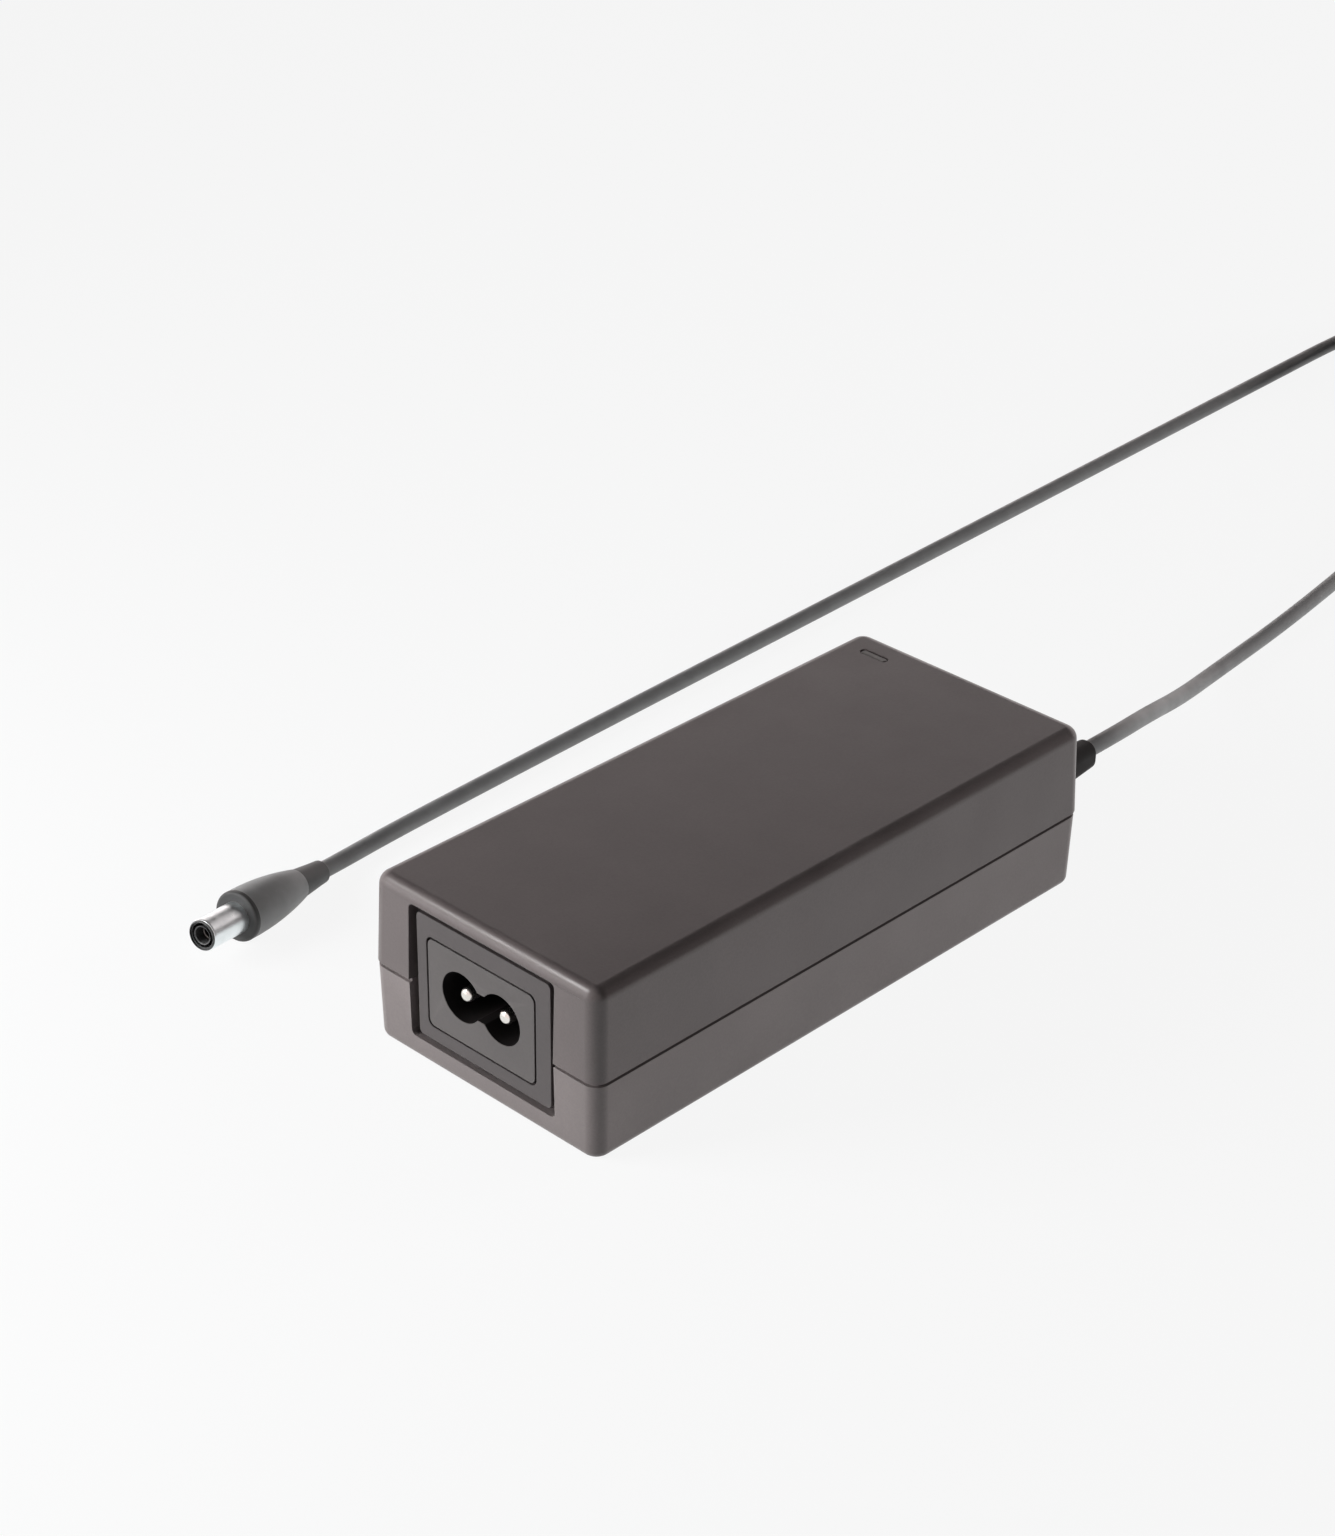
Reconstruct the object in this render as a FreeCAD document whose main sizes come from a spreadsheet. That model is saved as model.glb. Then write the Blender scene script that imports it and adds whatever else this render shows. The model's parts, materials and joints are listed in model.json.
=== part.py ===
import FreeCAD, Part
import math
import os
import re
import Sketcher

# Desktop battery charger: a flat two-shell case with a figure-8 mains inlet at one end
# and a thin output cord with a barrel plug at the other.
# Millimetres. The origin is under the middle of the case, on the table. +X points at the
# cord end, -Y at the long side that faces the viewer, +Z up.

os.makedirs("parts", exist_ok=True)
doc = FreeCAD.newDocument("BatteryCharger")

# Driving sizes: name, value
SIZES = [
    # case
    ("case_length", 115.0),
    ("case_width", 50.0),
    ("case_height", 30.3),
    ("parting_height", 14.2),
    ("case_wall", 2.2),
    ("ceiling_thickness", 2.2),
    ("floor_thickness", 2.2),
    ("case_corner", 2.6),
    ("cavity_corner", 1.2),
    ("upper_draft", 1.8),
    ("lower_draft", 1.2),
    ("top_edge_round", 2.1),
    ("base_edge_round", 1.5),
    ("lower_step", 0.12),
    ("groove_height", 0.45),
    ("groove_depth", 0.6),
    ("tongue_inset", 1.15),
    ("tongue_height", 1.5),
    ("tongue_clearance", 0.08),
    # inlet end
    ("opening_width", 31.4),
    ("opening_bottom", 4.0),
    ("opening_from_top", 3.0),
    ("opening_top", "=case_height - opening_from_top"),
    ("opening_corner", 0.9),
    ("panel_recess", 0.6),
    ("panel_gap", 0.95),
    ("panel_flange", 1.5),
    ("panel_flange_side", 2.0),
    ("panel_flange_rise", 0.5),
    ("inlet_side", 0.55),
    ("inlet_width", 23.5),
    ("inlet_bottom", 7.7),
    ("inlet_from_top", 6.7),
    ("inlet_top", "=case_height - inlet_from_top"),
    ("inlet_corner", 1.2),
    ("inlet_gap", 0.15),
    ("inlet_depth", "=0.15652 * case_length"),
    ("inlet_flange", 1.5),
    ("inlet_flange_side", 1.4),
    ("socket_depth", 12.0),
    ("socket_lobe", 8.6),
    ("socket_waist", 5.0),
    ("socket_off_middle", 0.35),
    ("socket_height", "=(inlet_bottom + inlet_top) / 2 + socket_off_middle"),
    ("pin_spacing", 8.6),
    ("pin_diameter", 2.4),
    ("pin_shank_diameter", 2.0),
    ("pin_setback", 0.5),
    ("pin_tip_round", 0.9),
    ("tail_reach", 1.0),
    ("tail_thickness", 1.2),
    # indicator
    ("window_from_end", 6.5),
    ("window_from_side", 8.5),
    ("window_side", "=case_width / 2 - window_from_side"),
    ("window_width", 1.6),
    ("window_length", 5.8),
    ("window_clearance", 0.05),
    ("window_flange", 0.9),
    ("window_flange_side", 0.8),
    ("led_diameter", 3.0),
    ("led_height", 5.3),
    ("led_below_window", 0.3),
    ("led_lead", 0.6),
    ("led_lead_spacing", 2.0),
    # strain relief
    ("relief_side", 12.3),
    ("relief_height", 13.4),
    ("relief_length", 18.0),
    ("relief_root_width", 6.4),
    ("relief_root_rise", 7.2),
    ("relief_draft", 3.2),
    ("relief_root_corner", 2.2),
    ("relief_clearance", 0.05),
    ("relief_collar", 1.5),
    ("relief_collar_side", 1.2),
    ("relief_tip_round", 0.5),
    # board and its supports
    ("board_from_inlet_end", "=0.06957 * case_length"),
    ("board_from_cord_end", 4.5),
    ("board_side_room", 2.3),
    ("board_width", "=case_width - 2 * case_wall - 2 * board_side_room"),
    ("board_thickness", 1.6),
    ("boss_height", 2.8),
    ("room_above_board", "=case_height - ceiling_thickness - floor_thickness - boss_height"
                         " - board_thickness"),
    ("boss_diameter", 4.5),
    ("post_diameter", 4.0),
    ("post_from_inlet_end", "=0.10435 * case_length"),
    ("post_from_cord_end", "=0.12174 * case_length"),
    ("post_from_edge", 3.0),
    ("post_side", "=board_width / 2 - post_from_edge"),
    ("sheet_thickness", 0.5),
    ("sheet_margin", 0.6),
    ("sheet_hole_clearance", 0.4),
    # mains side of the board, places measured from the inlet end
    ("fuse_diameter", "=0.07304 * case_length"),
    ("fuse_rise", "=0.36279 * room_above_board"),
    ("fuse_from_end", "=0.23913 * case_length"),
    ("fuse_side", "=-0.366 * board_width"),
    ("limiter_diameter", 9.0),
    ("limiter_thickness", "=0.03478 * case_length"),
    ("limiter_from_end", "=0.23913 * case_length"),
    ("limiter_side", "=-0.11 * board_width"),
    ("lead_diameter", 0.8),
    ("lead_spacing", 5.0),
    ("lead_stand", 1.5),
    ("filter_cap_depth", "=0.06522 * case_length"),
    ("filter_cap_width", "=0.366 * board_width"),
    ("filter_cap_rise", "=0.60465 * room_above_board"),
    ("filter_cap_from_end", "=0.23913 * case_length"),
    ("filter_cap_side", "=0.268 * board_width"),
    ("filter_cap_round", 0.8),
    ("choke_from_end", "=0.34783 * case_length"),
    ("choke_side", "=-0.224 * board_width"),
    ("choke_outer", "=0.69767 * room_above_board"),
    ("choke_inner", "=0.4 * room_above_board"),
    ("choke_depth", "=0.06087 * case_length"),
    ("choke_wire", 1.2),
    ("choke_wound_angle", 130.0),
    ("choke_base_rise", 1.2),
    ("choke_base_depth", "=0.09565 * case_length"),
    ("choke_base_width", 16.0),
    ("choke_rib_width", 2.0),
    ("bridge_depth", "=0.0313 * case_length"),
    ("bridge_width", "=0.36 * board_width"),
    ("bridge_rise", "=0.51163 * room_above_board"),
    ("bridge_from_end", "=0.34783 * case_length"),
    ("bridge_side", "=0.22 * board_width"),
    ("bridge_corner", 2.4),
    ("bulk_diameter", "=0.13913 * case_length"),
    ("bulk_below_ceiling", 1.5),
    ("bulk_rise", "=room_above_board - bulk_below_ceiling"),
    ("bulk_from_end", "=0.48696 * case_length"),
    ("bulk_side", "=-0.293 * board_width"),
    ("can_groove", 0.5),
    ("can_groove_height", 2.4),
    ("can_edge_round", 0.8),
    # heat sinks and the devices on them
    ("sink_thickness", 1.6),
    ("sink_rise", "=0.83 * room_above_board"),
    ("sink_foot", 4.0),
    ("sink_from_edge", 2.9),
    ("sink_side", "=board_width / 2 - sink_from_edge"),
    ("primary_sink_length", "=0.1913 * case_length"),
    ("primary_sink_from_end", "=0.5087 * case_length"),
    ("output_sink_length", "=0.14783 * case_length"),
    ("output_sink_from_end", "=0.24783 * case_length"),
    ("device_width", "=0.0887 * case_length"),
    ("device_thickness", 4.5),
    ("device_body_rise", "=0.428 * room_above_board"),
    ("device_tab_rise", "=0.288 * room_above_board"),
    ("device_tab_thickness", 1.3),
    ("device_lead_length", "=0.121 * room_above_board"),
    ("device_lead_width", 1.0),
    ("device_lead_pitch", 2.54),
    ("screw_diameter", 3.0),
    ("screw_clearance", 0.1),
    ("screw_head_diameter", 5.2),
    ("screw_head_rise", 2.0),
    ("screw_tail", 1.0),
    ("screw_down_tab", "=0.115 * room_above_board"),
    # transformer, measured from the cord end
    ("transformer_from_end", "=0.31739 * case_length"),
    ("transformer_side", "=-0.049 * board_width"),
    ("core_length", "=0.2087 * case_length"),
    ("core_width", "=0.537 * board_width"),
    ("core_thickness", "=0.32558 * room_above_board"),
    ("core_limb", "=0.1545 * core_width"),
    ("core_centre_limb", "=0.318 * core_width"),
    ("core_rise", "=0.49302 * room_above_board"),
    ("bobbin_wall", 0.8),
    ("bobbin_flange", 1.2),
    ("bobbin_flange_width", "=0.655 * core_width"),
    ("bobbin_play", 0.1),
    ("winding_thickness", "=0.1 * core_width"),
    ("winding_round", 1.6),
    # output side of the board, places measured from the cord end
    ("safety_cap_diameter", "=0.06957 * case_length"),
    ("safety_cap_thickness", 3.6),
    ("safety_cap_from_end", "=0.38261 * case_length"),
    ("safety_cap_from_edge", 2.9),
    ("safety_cap_side", "=safety_cap_from_edge - board_width / 2"),
    ("coupler_length", "=0.04 * case_length"),
    ("coupler_width", 6.5),
    ("coupler_rise", 3.4),
    ("coupler_from_end", "=0.28696 * case_length"),
    ("coupler_from_edge", 3.5),
    ("coupler_side", "=coupler_from_edge - board_width / 2"),
    ("output_cap_diameter", "=0.06957 * case_length"),
    ("output_cap_rise", "=0.69767 * room_above_board"),
    ("output_cap_from_end", "=0.16174 * case_length"),
    ("output_cap_side", "=0.122 * board_width"),
    ("output_cap_pitch", "=0.07826 * case_length"),
    ("inductor_diameter", "=0.06087 * case_length"),
    ("inductor_rise", "=0.4186 * room_above_board"),
    ("inductor_flange", 1.4),
    ("inductor_stem", 3.2),
    ("inductor_winding", "=0.05217 * case_length"),
    ("inductor_from_end", "=0.08174 * case_length"),
    ("inductor_side", 3.0),
    ("wire_diameter", 1.6),
    ("wire_spacing", 2.2),
    ("wire_bend", 3.0),
    ("wire_from_end", "=0.09043 * case_length"),
    # cord and plug
    ("cord_diameter", 3.0),
    ("cord_straight", 8.5),
    ("coil_across", 305.0),
    ("coil_along", 58.3),
    ("coil_mean_diameter", 36.0),
    ("coil_ring_width", 6.2),
    ("coil_ring_rise", 9.2),
    ("coil_ring_round", 0.9),
    ("coil_lead", 16.0),
    ("plug_tip_across", -64.4),
    ("plug_tip_along", 59.2),
    ("plug_tip_rise", 5.8),
    ("plug_yaw", 11.3),
    ("plug_pitch", 6.7),
    ("barrel_diameter", 5.5),
    ("barrel_bore", 4.3),
    ("barrel_length", 8.8),
    ("barrel_shank_diameter", 4.9),
    ("barrel_seat", 8.0),
    ("insulator_bore", 2.9),
    ("insulator_set", 0.25),
    ("contact_bore", 2.1),
    ("contact_set", 2.0),
    ("overmould_front", 8.8),
    ("overmould_bulge", 60.0),
    ("overmould_back", 5.1),
    ("overmould_length", 17.4),
    ("overmould_edge_round", 0.6),
    ("collar_diameter", 4.1),
    ("collar_length", 5.2),
]

sheet = doc.addObject("Spreadsheet::Sheet", "Sizes")
for row, (name, value) in enumerate(SIZES, start=1):
    sheet.set(f"A{row}", name)
    sheet.set(f"B{row}", str(value))
    sheet.setAlias(f"B{row}", name)
doc.recompute()
NAMES = {name for name, value in SIZES}


def on_sheet(formula):
    """A formula with bare size names, turned into one that the document can follow."""
    return re.sub(r"[a-z_]+", lambda word: "Sizes." + word.group() if word.group() in NAMES
                  else word.group(), formula)


def number(formula):
    """The value of a formula now."""
    result = sheet.evalExpression(on_sheet(formula))
    return float(getattr(result, "Value", result))


def vector(x, y, z):
    return FreeCAD.Vector(number(x), number(y), number(z))


# Places that several pieces share
INLET_END = "(-case_length / 2)"
CORD_END = "(case_length / 2)"
CEILING = "(case_height - ceiling_thickness)"
BOARD_BOTTOM = "(floor_thickness + boss_height)"
BOARD_TOP = "(floor_thickness + boss_height + board_thickness)"
INNER_END = "(case_length / 2 - case_wall)"
INNER_SIDE = "(case_width / 2 - case_wall)"
PANEL_FRONT = "(-case_length / 2 + panel_recess)"
PANEL_BACK = "(-case_length / 2 + case_wall + panel_flange)"


# Helpers for bodies, sketches and features
def new_body(name, x="0", y="0", z="0"):
    body = doc.addObject("PartDesign::Body", name)
    body.Label = name
    for axis, formula in (("x", x), ("y", y), ("z", z)):
        if formula != "0":
            body.setExpression(f"Placement.Base.{axis}", on_sheet(formula))
    doc.recompute()
    return body


def new_sketch(body, plane, offset="0"):
    """A sketch flat on one of the body's own origin planes, moved along that plane's normal."""
    sketch = body.newObject("Sketcher::SketchObject", body.Name + "_sketch")
    support = next(item for item in body.Origin.OriginFeatures if item.Role == plane)
    sketch.AttachmentSupport = (support, "")
    sketch.MapMode = "FlatFace"
    if offset != "0":
        sketch.setExpression("AttachmentOffset.Base.z", on_sheet(offset))
    return sketch


def dimension(sketch, kind, formula, *where):
    index = sketch.addConstraint(Sketcher.Constraint(kind, *where, number(formula)))
    sketch.renameConstraint(index, f"size_{index}")
    sketch.setExpression(f"Constraints.size_{index}", on_sheet(formula))


def place_point(sketch, geometry, point, across, up):
    """Fixes a point of the sketch at two formulas; a bare 0 ties it to the axis."""
    if across == "0":
        sketch.addConstraint(Sketcher.Constraint("PointOnObject", geometry, point, -2))
    else:
        dimension(sketch, "DistanceX", across, -1, 1, geometry, point)
    if up == "0":
        sketch.addConstraint(Sketcher.Constraint("PointOnObject", geometry, point, -1))
    else:
        dimension(sketch, "DistanceY", up, -1, 1, geometry, point)


def flat(x, y):
    return FreeCAD.Vector(x, y, 0)


def rectangle(sketch, left, right, bottom, top):
    x0, x1, y0, y1 = (number(f) for f in (left, right, bottom, top))
    corners = [flat(x0, y0), flat(x1, y0), flat(x1, y1), flat(x0, y1)]
    lines = []
    for i in range(4):
        lines.append(sketch.addGeometry(Part.LineSegment(corners[i], corners[(i + 1) % 4]), False))
    for i in range(4):
        sketch.addConstraint(Sketcher.Constraint("Coincident", lines[i], 2, lines[(i + 1) % 4], 1))
    for line in (lines[0], lines[2]):
        sketch.addConstraint(Sketcher.Constraint("Horizontal", line))
    for line in (lines[1], lines[3]):
        sketch.addConstraint(Sketcher.Constraint("Vertical", line))
    place_point(sketch, lines[0], 1, left, bottom)
    place_point(sketch, lines[2], 1, right, top)


def rounded_rectangle(sketch, left, right, bottom, top, radius):
    x0, x1, y0, y1, r = (number(f) for f in (left, right, bottom, top, radius))
    sides = [(flat(x0 + r, y0), flat(x1 - r, y0)), (flat(x1, y0 + r), flat(x1, y1 - r)),
             (flat(x1 - r, y1), flat(x0 + r, y1)), (flat(x0, y1 - r), flat(x0, y0 + r))]
    centres = [flat(x1 - r, y0 + r), flat(x1 - r, y1 - r), flat(x0 + r, y1 - r),
               flat(x0 + r, y0 + r)]
    starts = [-math.pi / 2, 0, math.pi / 2, math.pi]
    lines = [sketch.addGeometry(Part.LineSegment(a, b), False) for a, b in sides]
    arcs = []
    for centre, start in zip(centres, starts):
        circle = Part.Circle(centre, FreeCAD.Vector(0, 0, 1), r)
        arcs.append(sketch.addGeometry(Part.ArcOfCircle(circle, start, start + math.pi / 2), False))
    for i in range(4):
        sketch.addConstraint(Sketcher.Constraint("Tangent", lines[i], 2, arcs[i], 1))
        sketch.addConstraint(Sketcher.Constraint("Tangent", arcs[i], 2, lines[(i + 1) % 4], 1))
    sketch.addConstraint(Sketcher.Constraint("Horizontal", lines[0]))
    sketch.addConstraint(Sketcher.Constraint("Horizontal", lines[2]))
    sketch.addConstraint(Sketcher.Constraint("Vertical", lines[1]))
    sketch.addConstraint(Sketcher.Constraint("Vertical", lines[3]))
    for arc in arcs[1:]:
        sketch.addConstraint(Sketcher.Constraint("Equal", arcs[0], arc))
    dimension(sketch, "Radius", radius, arcs[0])
    dimension(sketch, "DistanceY", bottom, -1, 1, lines[0], 1)
    dimension(sketch, "DistanceX", right, -1, 1, lines[1], 1)
    dimension(sketch, "DistanceY", top, -1, 1, lines[2], 1)
    dimension(sketch, "DistanceX", left, -1, 1, lines[3], 1)


def circle(sketch, across, up, diameter):
    place = flat(number(across), number(up))
    ring = sketch.addGeometry(Part.Circle(place, FreeCAD.Vector(0, 0, 1), number(diameter) / 2),
                              False)
    place_point(sketch, ring, 3, across, up)
    dimension(sketch, "Diameter", diameter, ring)


def outline(sketch, points):
    """A closed outline of straight lines through points given as pairs of formulas."""
    spots = [flat(number(x), number(y)) for x, y in points]
    lines = []
    for i, spot in enumerate(spots):
        lines.append(sketch.addGeometry(Part.LineSegment(spot, spots[(i + 1) % len(spots)]), False))
    for i, line in enumerate(lines):
        sketch.addConstraint(Sketcher.Constraint("Coincident", line, 2,
                                                 lines[(i + 1) % len(lines)], 1))
    for line, (x, y) in zip(lines, points):
        place_point(sketch, line, 1, x, y)


def extrude(kind, body, sketch, length, backwards=False, taper=None):
    feature = body.newObject(kind, body.Name + "_feature")
    feature.Profile = sketch
    feature.setExpression("Length", on_sheet(length))
    feature.Reversed = backwards
    if taper:
        feature.setExpression("TaperAngle", on_sheet(taper))
    sketch.Visibility = False
    doc.recompute()
    return feature


def pad(body, sketch, length, backwards=False, taper=None):
    return extrude("PartDesign::Pad", body, sketch, length, backwards, taper)


def pocket(body, sketch, length, backwards=False, taper=None):
    """A cut that has to take something away."""
    before = body.Shape.Volume
    feature = extrude("PartDesign::Pocket", body, sketch, length, backwards, taper)
    if not body.Shape.Volume < before - 1e-6:
        raise RuntimeError(body.Label + ": a pocket cut nothing")
    return feature


def revolve(body, sketch, role, angle="360"):
    feature = body.newObject("PartDesign::Revolution", body.Name + "_feature")
    feature.Profile = sketch
    axis = next(item for item in body.Origin.OriginFeatures if item.Role == role)
    feature.ReferenceAxis = (axis, [""])
    feature.setExpression("Angle", on_sheet(angle))
    doc.recompute()
    return feature


def edge_names(shape, test):
    return [f"Edge{i + 1}" for i, edge in enumerate(shape.Edges) if test(edge)]


def dress(kind, body, test, size):
    """A fillet or a chamfer on the edges of the body that pass the test."""
    base = body.Tip
    names = edge_names(base.Shape, test)
    if not names:
        raise RuntimeError(body.Label + ": no edge to dress")
    feature = body.newObject(kind, body.Name + "_edges")
    feature.Base = (base, names)
    feature.setExpression("Radius" if kind.endswith("Fillet") else "Size", on_sheet(size))
    doc.recompute()
    return feature


def fillet(body, test, radius):
    return dress("PartDesign::Fillet", body, test, radius)


def chamfer(body, test, size):
    return dress("PartDesign::Chamfer", body, test, size)


def level(height):
    """Edges that lie flat at one height of the body's own frame."""
    z = number(height)
    return lambda edge: (abs(edge.BoundBox.ZMin - z) < 1e-4 and abs(edge.BoundBox.ZMax - z) < 1e-4)


def across(place):
    """Edges that lie in one plane across the X axis."""
    x = number(place)
    return lambda edge: (abs(edge.BoundBox.XMin - x) < 1e-4 and abs(edge.BoundBox.XMax - x) < 1e-4)


def upright(edge):
    box = edge.BoundBox
    return box.ZLength > 0.5 and box.XLength < 1e-4 and box.YLength < 1e-4


# Case shells
def case_outline(sketch, inset, radius):
    """The rounded outline of the case at the parting line, moved inwards."""
    rounded_rectangle(sketch, f"-(case_length / 2 - ({inset}))", f"case_length / 2 - ({inset})",
                      f"-(case_width / 2 - ({inset}))", f"case_width / 2 - ({inset})", radius)


def open_ends(body):
    """The opening for the inlet panel and the hole for the strain relief."""
    sketch = new_sketch(body, "YZ_Plane", INLET_END + " - 1")
    rounded_rectangle(sketch, "-opening_width / 2", "opening_width / 2", "opening_bottom",
                      "opening_top", "opening_corner")
    pocket(body, sketch, "case_wall + 1.5", backwards=True)
    sketch = new_sketch(body, "YZ_Plane", CORD_END + " + 1")
    half = "(relief_root_width / 2 + relief_clearance)"
    rise = "(relief_root_rise / 2 + relief_clearance)"
    rounded_rectangle(sketch, f"-relief_side - {half}", f"-relief_side + {half}",
                      f"relief_height - {rise}", f"relief_height + {rise}", "relief_root_corner")
    pocket(body, sketch, "case_wall + 1.5")


def four_rounds(sketch, diameter):
    """One round at each of the board's four supports."""
    for x in (INLET_END + " + post_from_inlet_end", CORD_END + " - post_from_cord_end"):
        for y in ("-post_side", "post_side"):
            circle(sketch, x, y, diameter)


upper = new_body("upper_shell")
sketch = new_sketch(upper, "XY_Plane", "parting_height")
case_outline(sketch, "0", "case_corner")
pad(upper, sketch, "case_height - parting_height", taper="-upper_draft")
fillet(upper, level("case_height"), "top_edge_round")
sketch = new_sketch(upper, "XY_Plane", "parting_height")
case_outline(sketch, "case_wall", "cavity_corner")
pocket(upper, sketch, CEILING + " - parting_height", backwards=True)
sketch = new_sketch(upper, "XY_Plane", "parting_height")
case_outline(sketch, "tongue_inset", "case_corner - tongue_inset")
pocket(upper, sketch, "tongue_height + tongue_clearance", backwards=True)
sketch = new_sketch(upper, "XY_Plane", CEILING)
four_rounds(sketch, "post_diameter")
pad(upper, sketch, CEILING + " - " + BOARD_TOP, backwards=True)
sketch = new_sketch(upper, "XY_Plane", "case_height + 1")
window_x = CORD_END + " - window_from_end"
rounded_rectangle(sketch, f"{window_x} - window_width / 2 - window_clearance",
                  f"{window_x} + window_width / 2 + window_clearance",
                  "window_side - window_length / 2 - window_clearance",
                  "window_side + window_length / 2 + window_clearance", "window_width / 2")
pocket(upper, sketch, "ceiling_thickness + 1.5")
open_ends(upper)

lower = new_body("lower_shell")
sketch = new_sketch(lower, "XY_Plane", "parting_height - groove_height")
case_outline(sketch, "lower_step", "case_corner - lower_step")
pad(lower, sketch, "parting_height - groove_height", backwards=True, taper="-lower_draft")
fillet(lower, level("0"), "base_edge_round")
sketch = new_sketch(lower, "XY_Plane", "parting_height - groove_height")
case_outline(sketch, "groove_depth", "case_corner - groove_depth")
pad(lower, sketch, "groove_height")
sketch = new_sketch(lower, "XY_Plane", "parting_height")
case_outline(sketch, "tongue_inset + tongue_clearance",
             "case_corner - tongue_inset - tongue_clearance")
pad(lower, sketch, "tongue_height")
sketch = new_sketch(lower, "XY_Plane", "parting_height + tongue_height")
case_outline(sketch, "case_wall", "cavity_corner")
pocket(lower, sketch, "parting_height + tongue_height - floor_thickness")
sketch = new_sketch(lower, "XY_Plane", "floor_thickness")
four_rounds(sketch, "boss_diameter")
pad(lower, sketch, "boss_height")
open_ends(lower)

# Inlet end
panel = new_body("inlet_end_panel")
sketch = new_sketch(panel, "YZ_Plane", PANEL_FRONT)
rounded_rectangle(sketch, "-opening_width / 2 + panel_gap", "opening_width / 2 - panel_gap",
                  "opening_bottom + panel_gap", "opening_top - panel_gap", "opening_corner")
pad(panel, sketch, "case_wall - panel_recess")
sketch = new_sketch(panel, "YZ_Plane", INLET_END + " + case_wall")
rectangle(sketch, "-opening_width / 2 - panel_flange_side", "opening_width / 2 + panel_flange_side",
          "opening_bottom - panel_flange_rise", "opening_top + panel_flange_rise")
pad(panel, sketch, "panel_flange")
sketch = new_sketch(panel, "YZ_Plane", INLET_END)
rounded_rectangle(sketch, "inlet_side - inlet_width / 2 - inlet_gap",
                  "inlet_side + inlet_width / 2 + inlet_gap",
                  "inlet_bottom - inlet_gap", "inlet_top + inlet_gap", "inlet_corner")
pocket(panel, sketch, "case_wall + panel_flange + 1", backwards=True)


def figure_eight(sketch, lobe, waist):
    """Two round lobes joined by a straight waist, centred on the two pins."""
    radius = number(lobe) / 2
    half = number(waist) / 2
    pitch = number("pin_spacing") / 2
    height = number("socket_height")
    angle = math.asin(half / radius)
    up = FreeCAD.Vector(0, 0, 1)
    right = Part.ArcOfCircle(Part.Circle(flat(pitch, height), up, radius), angle - math.pi,
                             math.pi - angle)
    left = Part.ArcOfCircle(Part.Circle(flat(-pitch, height), up, radius), angle,
                            2 * math.pi - angle)
    neck = pitch - radius * math.cos(angle)
    right = sketch.addGeometry(right, False)
    left = sketch.addGeometry(left, False)
    top = sketch.addGeometry(Part.LineSegment(flat(neck, height + half),
                                              flat(-neck, height + half)), False)
    bottom = sketch.addGeometry(Part.LineSegment(flat(-neck, height - half),
                                                 flat(neck, height - half)), False)
    for first, end, second, start in ((right, 2, top, 1), (top, 2, left, 1), (left, 2, bottom, 1),
                                      (bottom, 2, right, 1)):
        sketch.addConstraint(Sketcher.Constraint("Coincident", first, end, second, start))
    sketch.addConstraint(Sketcher.Constraint("Horizontal", top))
    sketch.addConstraint(Sketcher.Constraint("Horizontal", bottom))
    place_point(sketch, right, 3, "pin_spacing / 2", "socket_height")
    place_point(sketch, left, 3, "-pin_spacing / 2", "socket_height")
    dimension(sketch, "Diameter", lobe, right)
    sketch.addConstraint(Sketcher.Constraint("Equal", right, left))
    dimension(sketch, "DistanceY", f"socket_height + ({waist}) / 2", -1, 1, top, 1)
    dimension(sketch, "DistanceY", f"socket_height - ({waist}) / 2", -1, 1, bottom, 1)


inlet = new_body("inlet_body", y="inlet_side")
sketch = new_sketch(inlet, "YZ_Plane", PANEL_FRONT)
rounded_rectangle(sketch, "-inlet_width / 2", "inlet_width / 2", "inlet_bottom", "inlet_top",
                  "inlet_corner")
pad(inlet, sketch, "inlet_depth")
sketch = new_sketch(inlet, "YZ_Plane", PANEL_BACK)
rectangle(sketch, "-inlet_width / 2 - inlet_flange_side", "inlet_width / 2 + inlet_flange_side",
          "inlet_bottom - inlet_flange_side", "inlet_top + inlet_flange_side")
pad(inlet, sketch, "inlet_flange")
sketch = new_sketch(inlet, "YZ_Plane", PANEL_FRONT)
figure_eight(sketch, "socket_lobe", "socket_waist")
pocket(inlet, sketch, "socket_depth", backwards=True)
sketch = new_sketch(inlet, "YZ_Plane", PANEL_FRONT)
circle(sketch, "-pin_spacing / 2", "socket_height", "pin_shank_diameter")
circle(sketch, "pin_spacing / 2", "socket_height", "pin_shank_diameter")
pocket(inlet, sketch, "inlet_depth + 1", backwards=True)


def inlet_pin(name, side):
    """A round pin with a domed tip, seated on the socket's floor by a thinner shank that
    goes through it to a flat tail bent down to the board."""
    body = new_body(name, y="inlet_side")
    place = f"({side} * pin_spacing / 2)"
    tip = PANEL_FRONT + " + pin_setback"
    tail = "(inlet_depth - pin_setback + tail_reach)"
    sketch = new_sketch(body, "YZ_Plane", tip)
    circle(sketch, place, "socket_height", "pin_diameter")
    pad(body, sketch, "socket_depth - pin_setback")
    fillet(body, across(tip), "pin_tip_round")
    sketch = new_sketch(body, "YZ_Plane", PANEL_FRONT + " + socket_depth")
    circle(sketch, place, "socket_height", "pin_shank_diameter")
    pad(body, sketch, "inlet_depth - socket_depth + tail_reach + tail_thickness")
    sketch = new_sketch(body, "XY_Plane", BOARD_TOP)
    rectangle(sketch, f"{tip} + {tail}", f"{tip} + {tail} + tail_thickness",
              place + " - pin_shank_diameter / 2", place + " + pin_shank_diameter / 2")
    pad(body, sketch, "socket_height - " + BOARD_TOP)
    return body


inlet_pin("inlet_pin_left", "-1")
inlet_pin("inlet_pin_right", "1")

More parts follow.
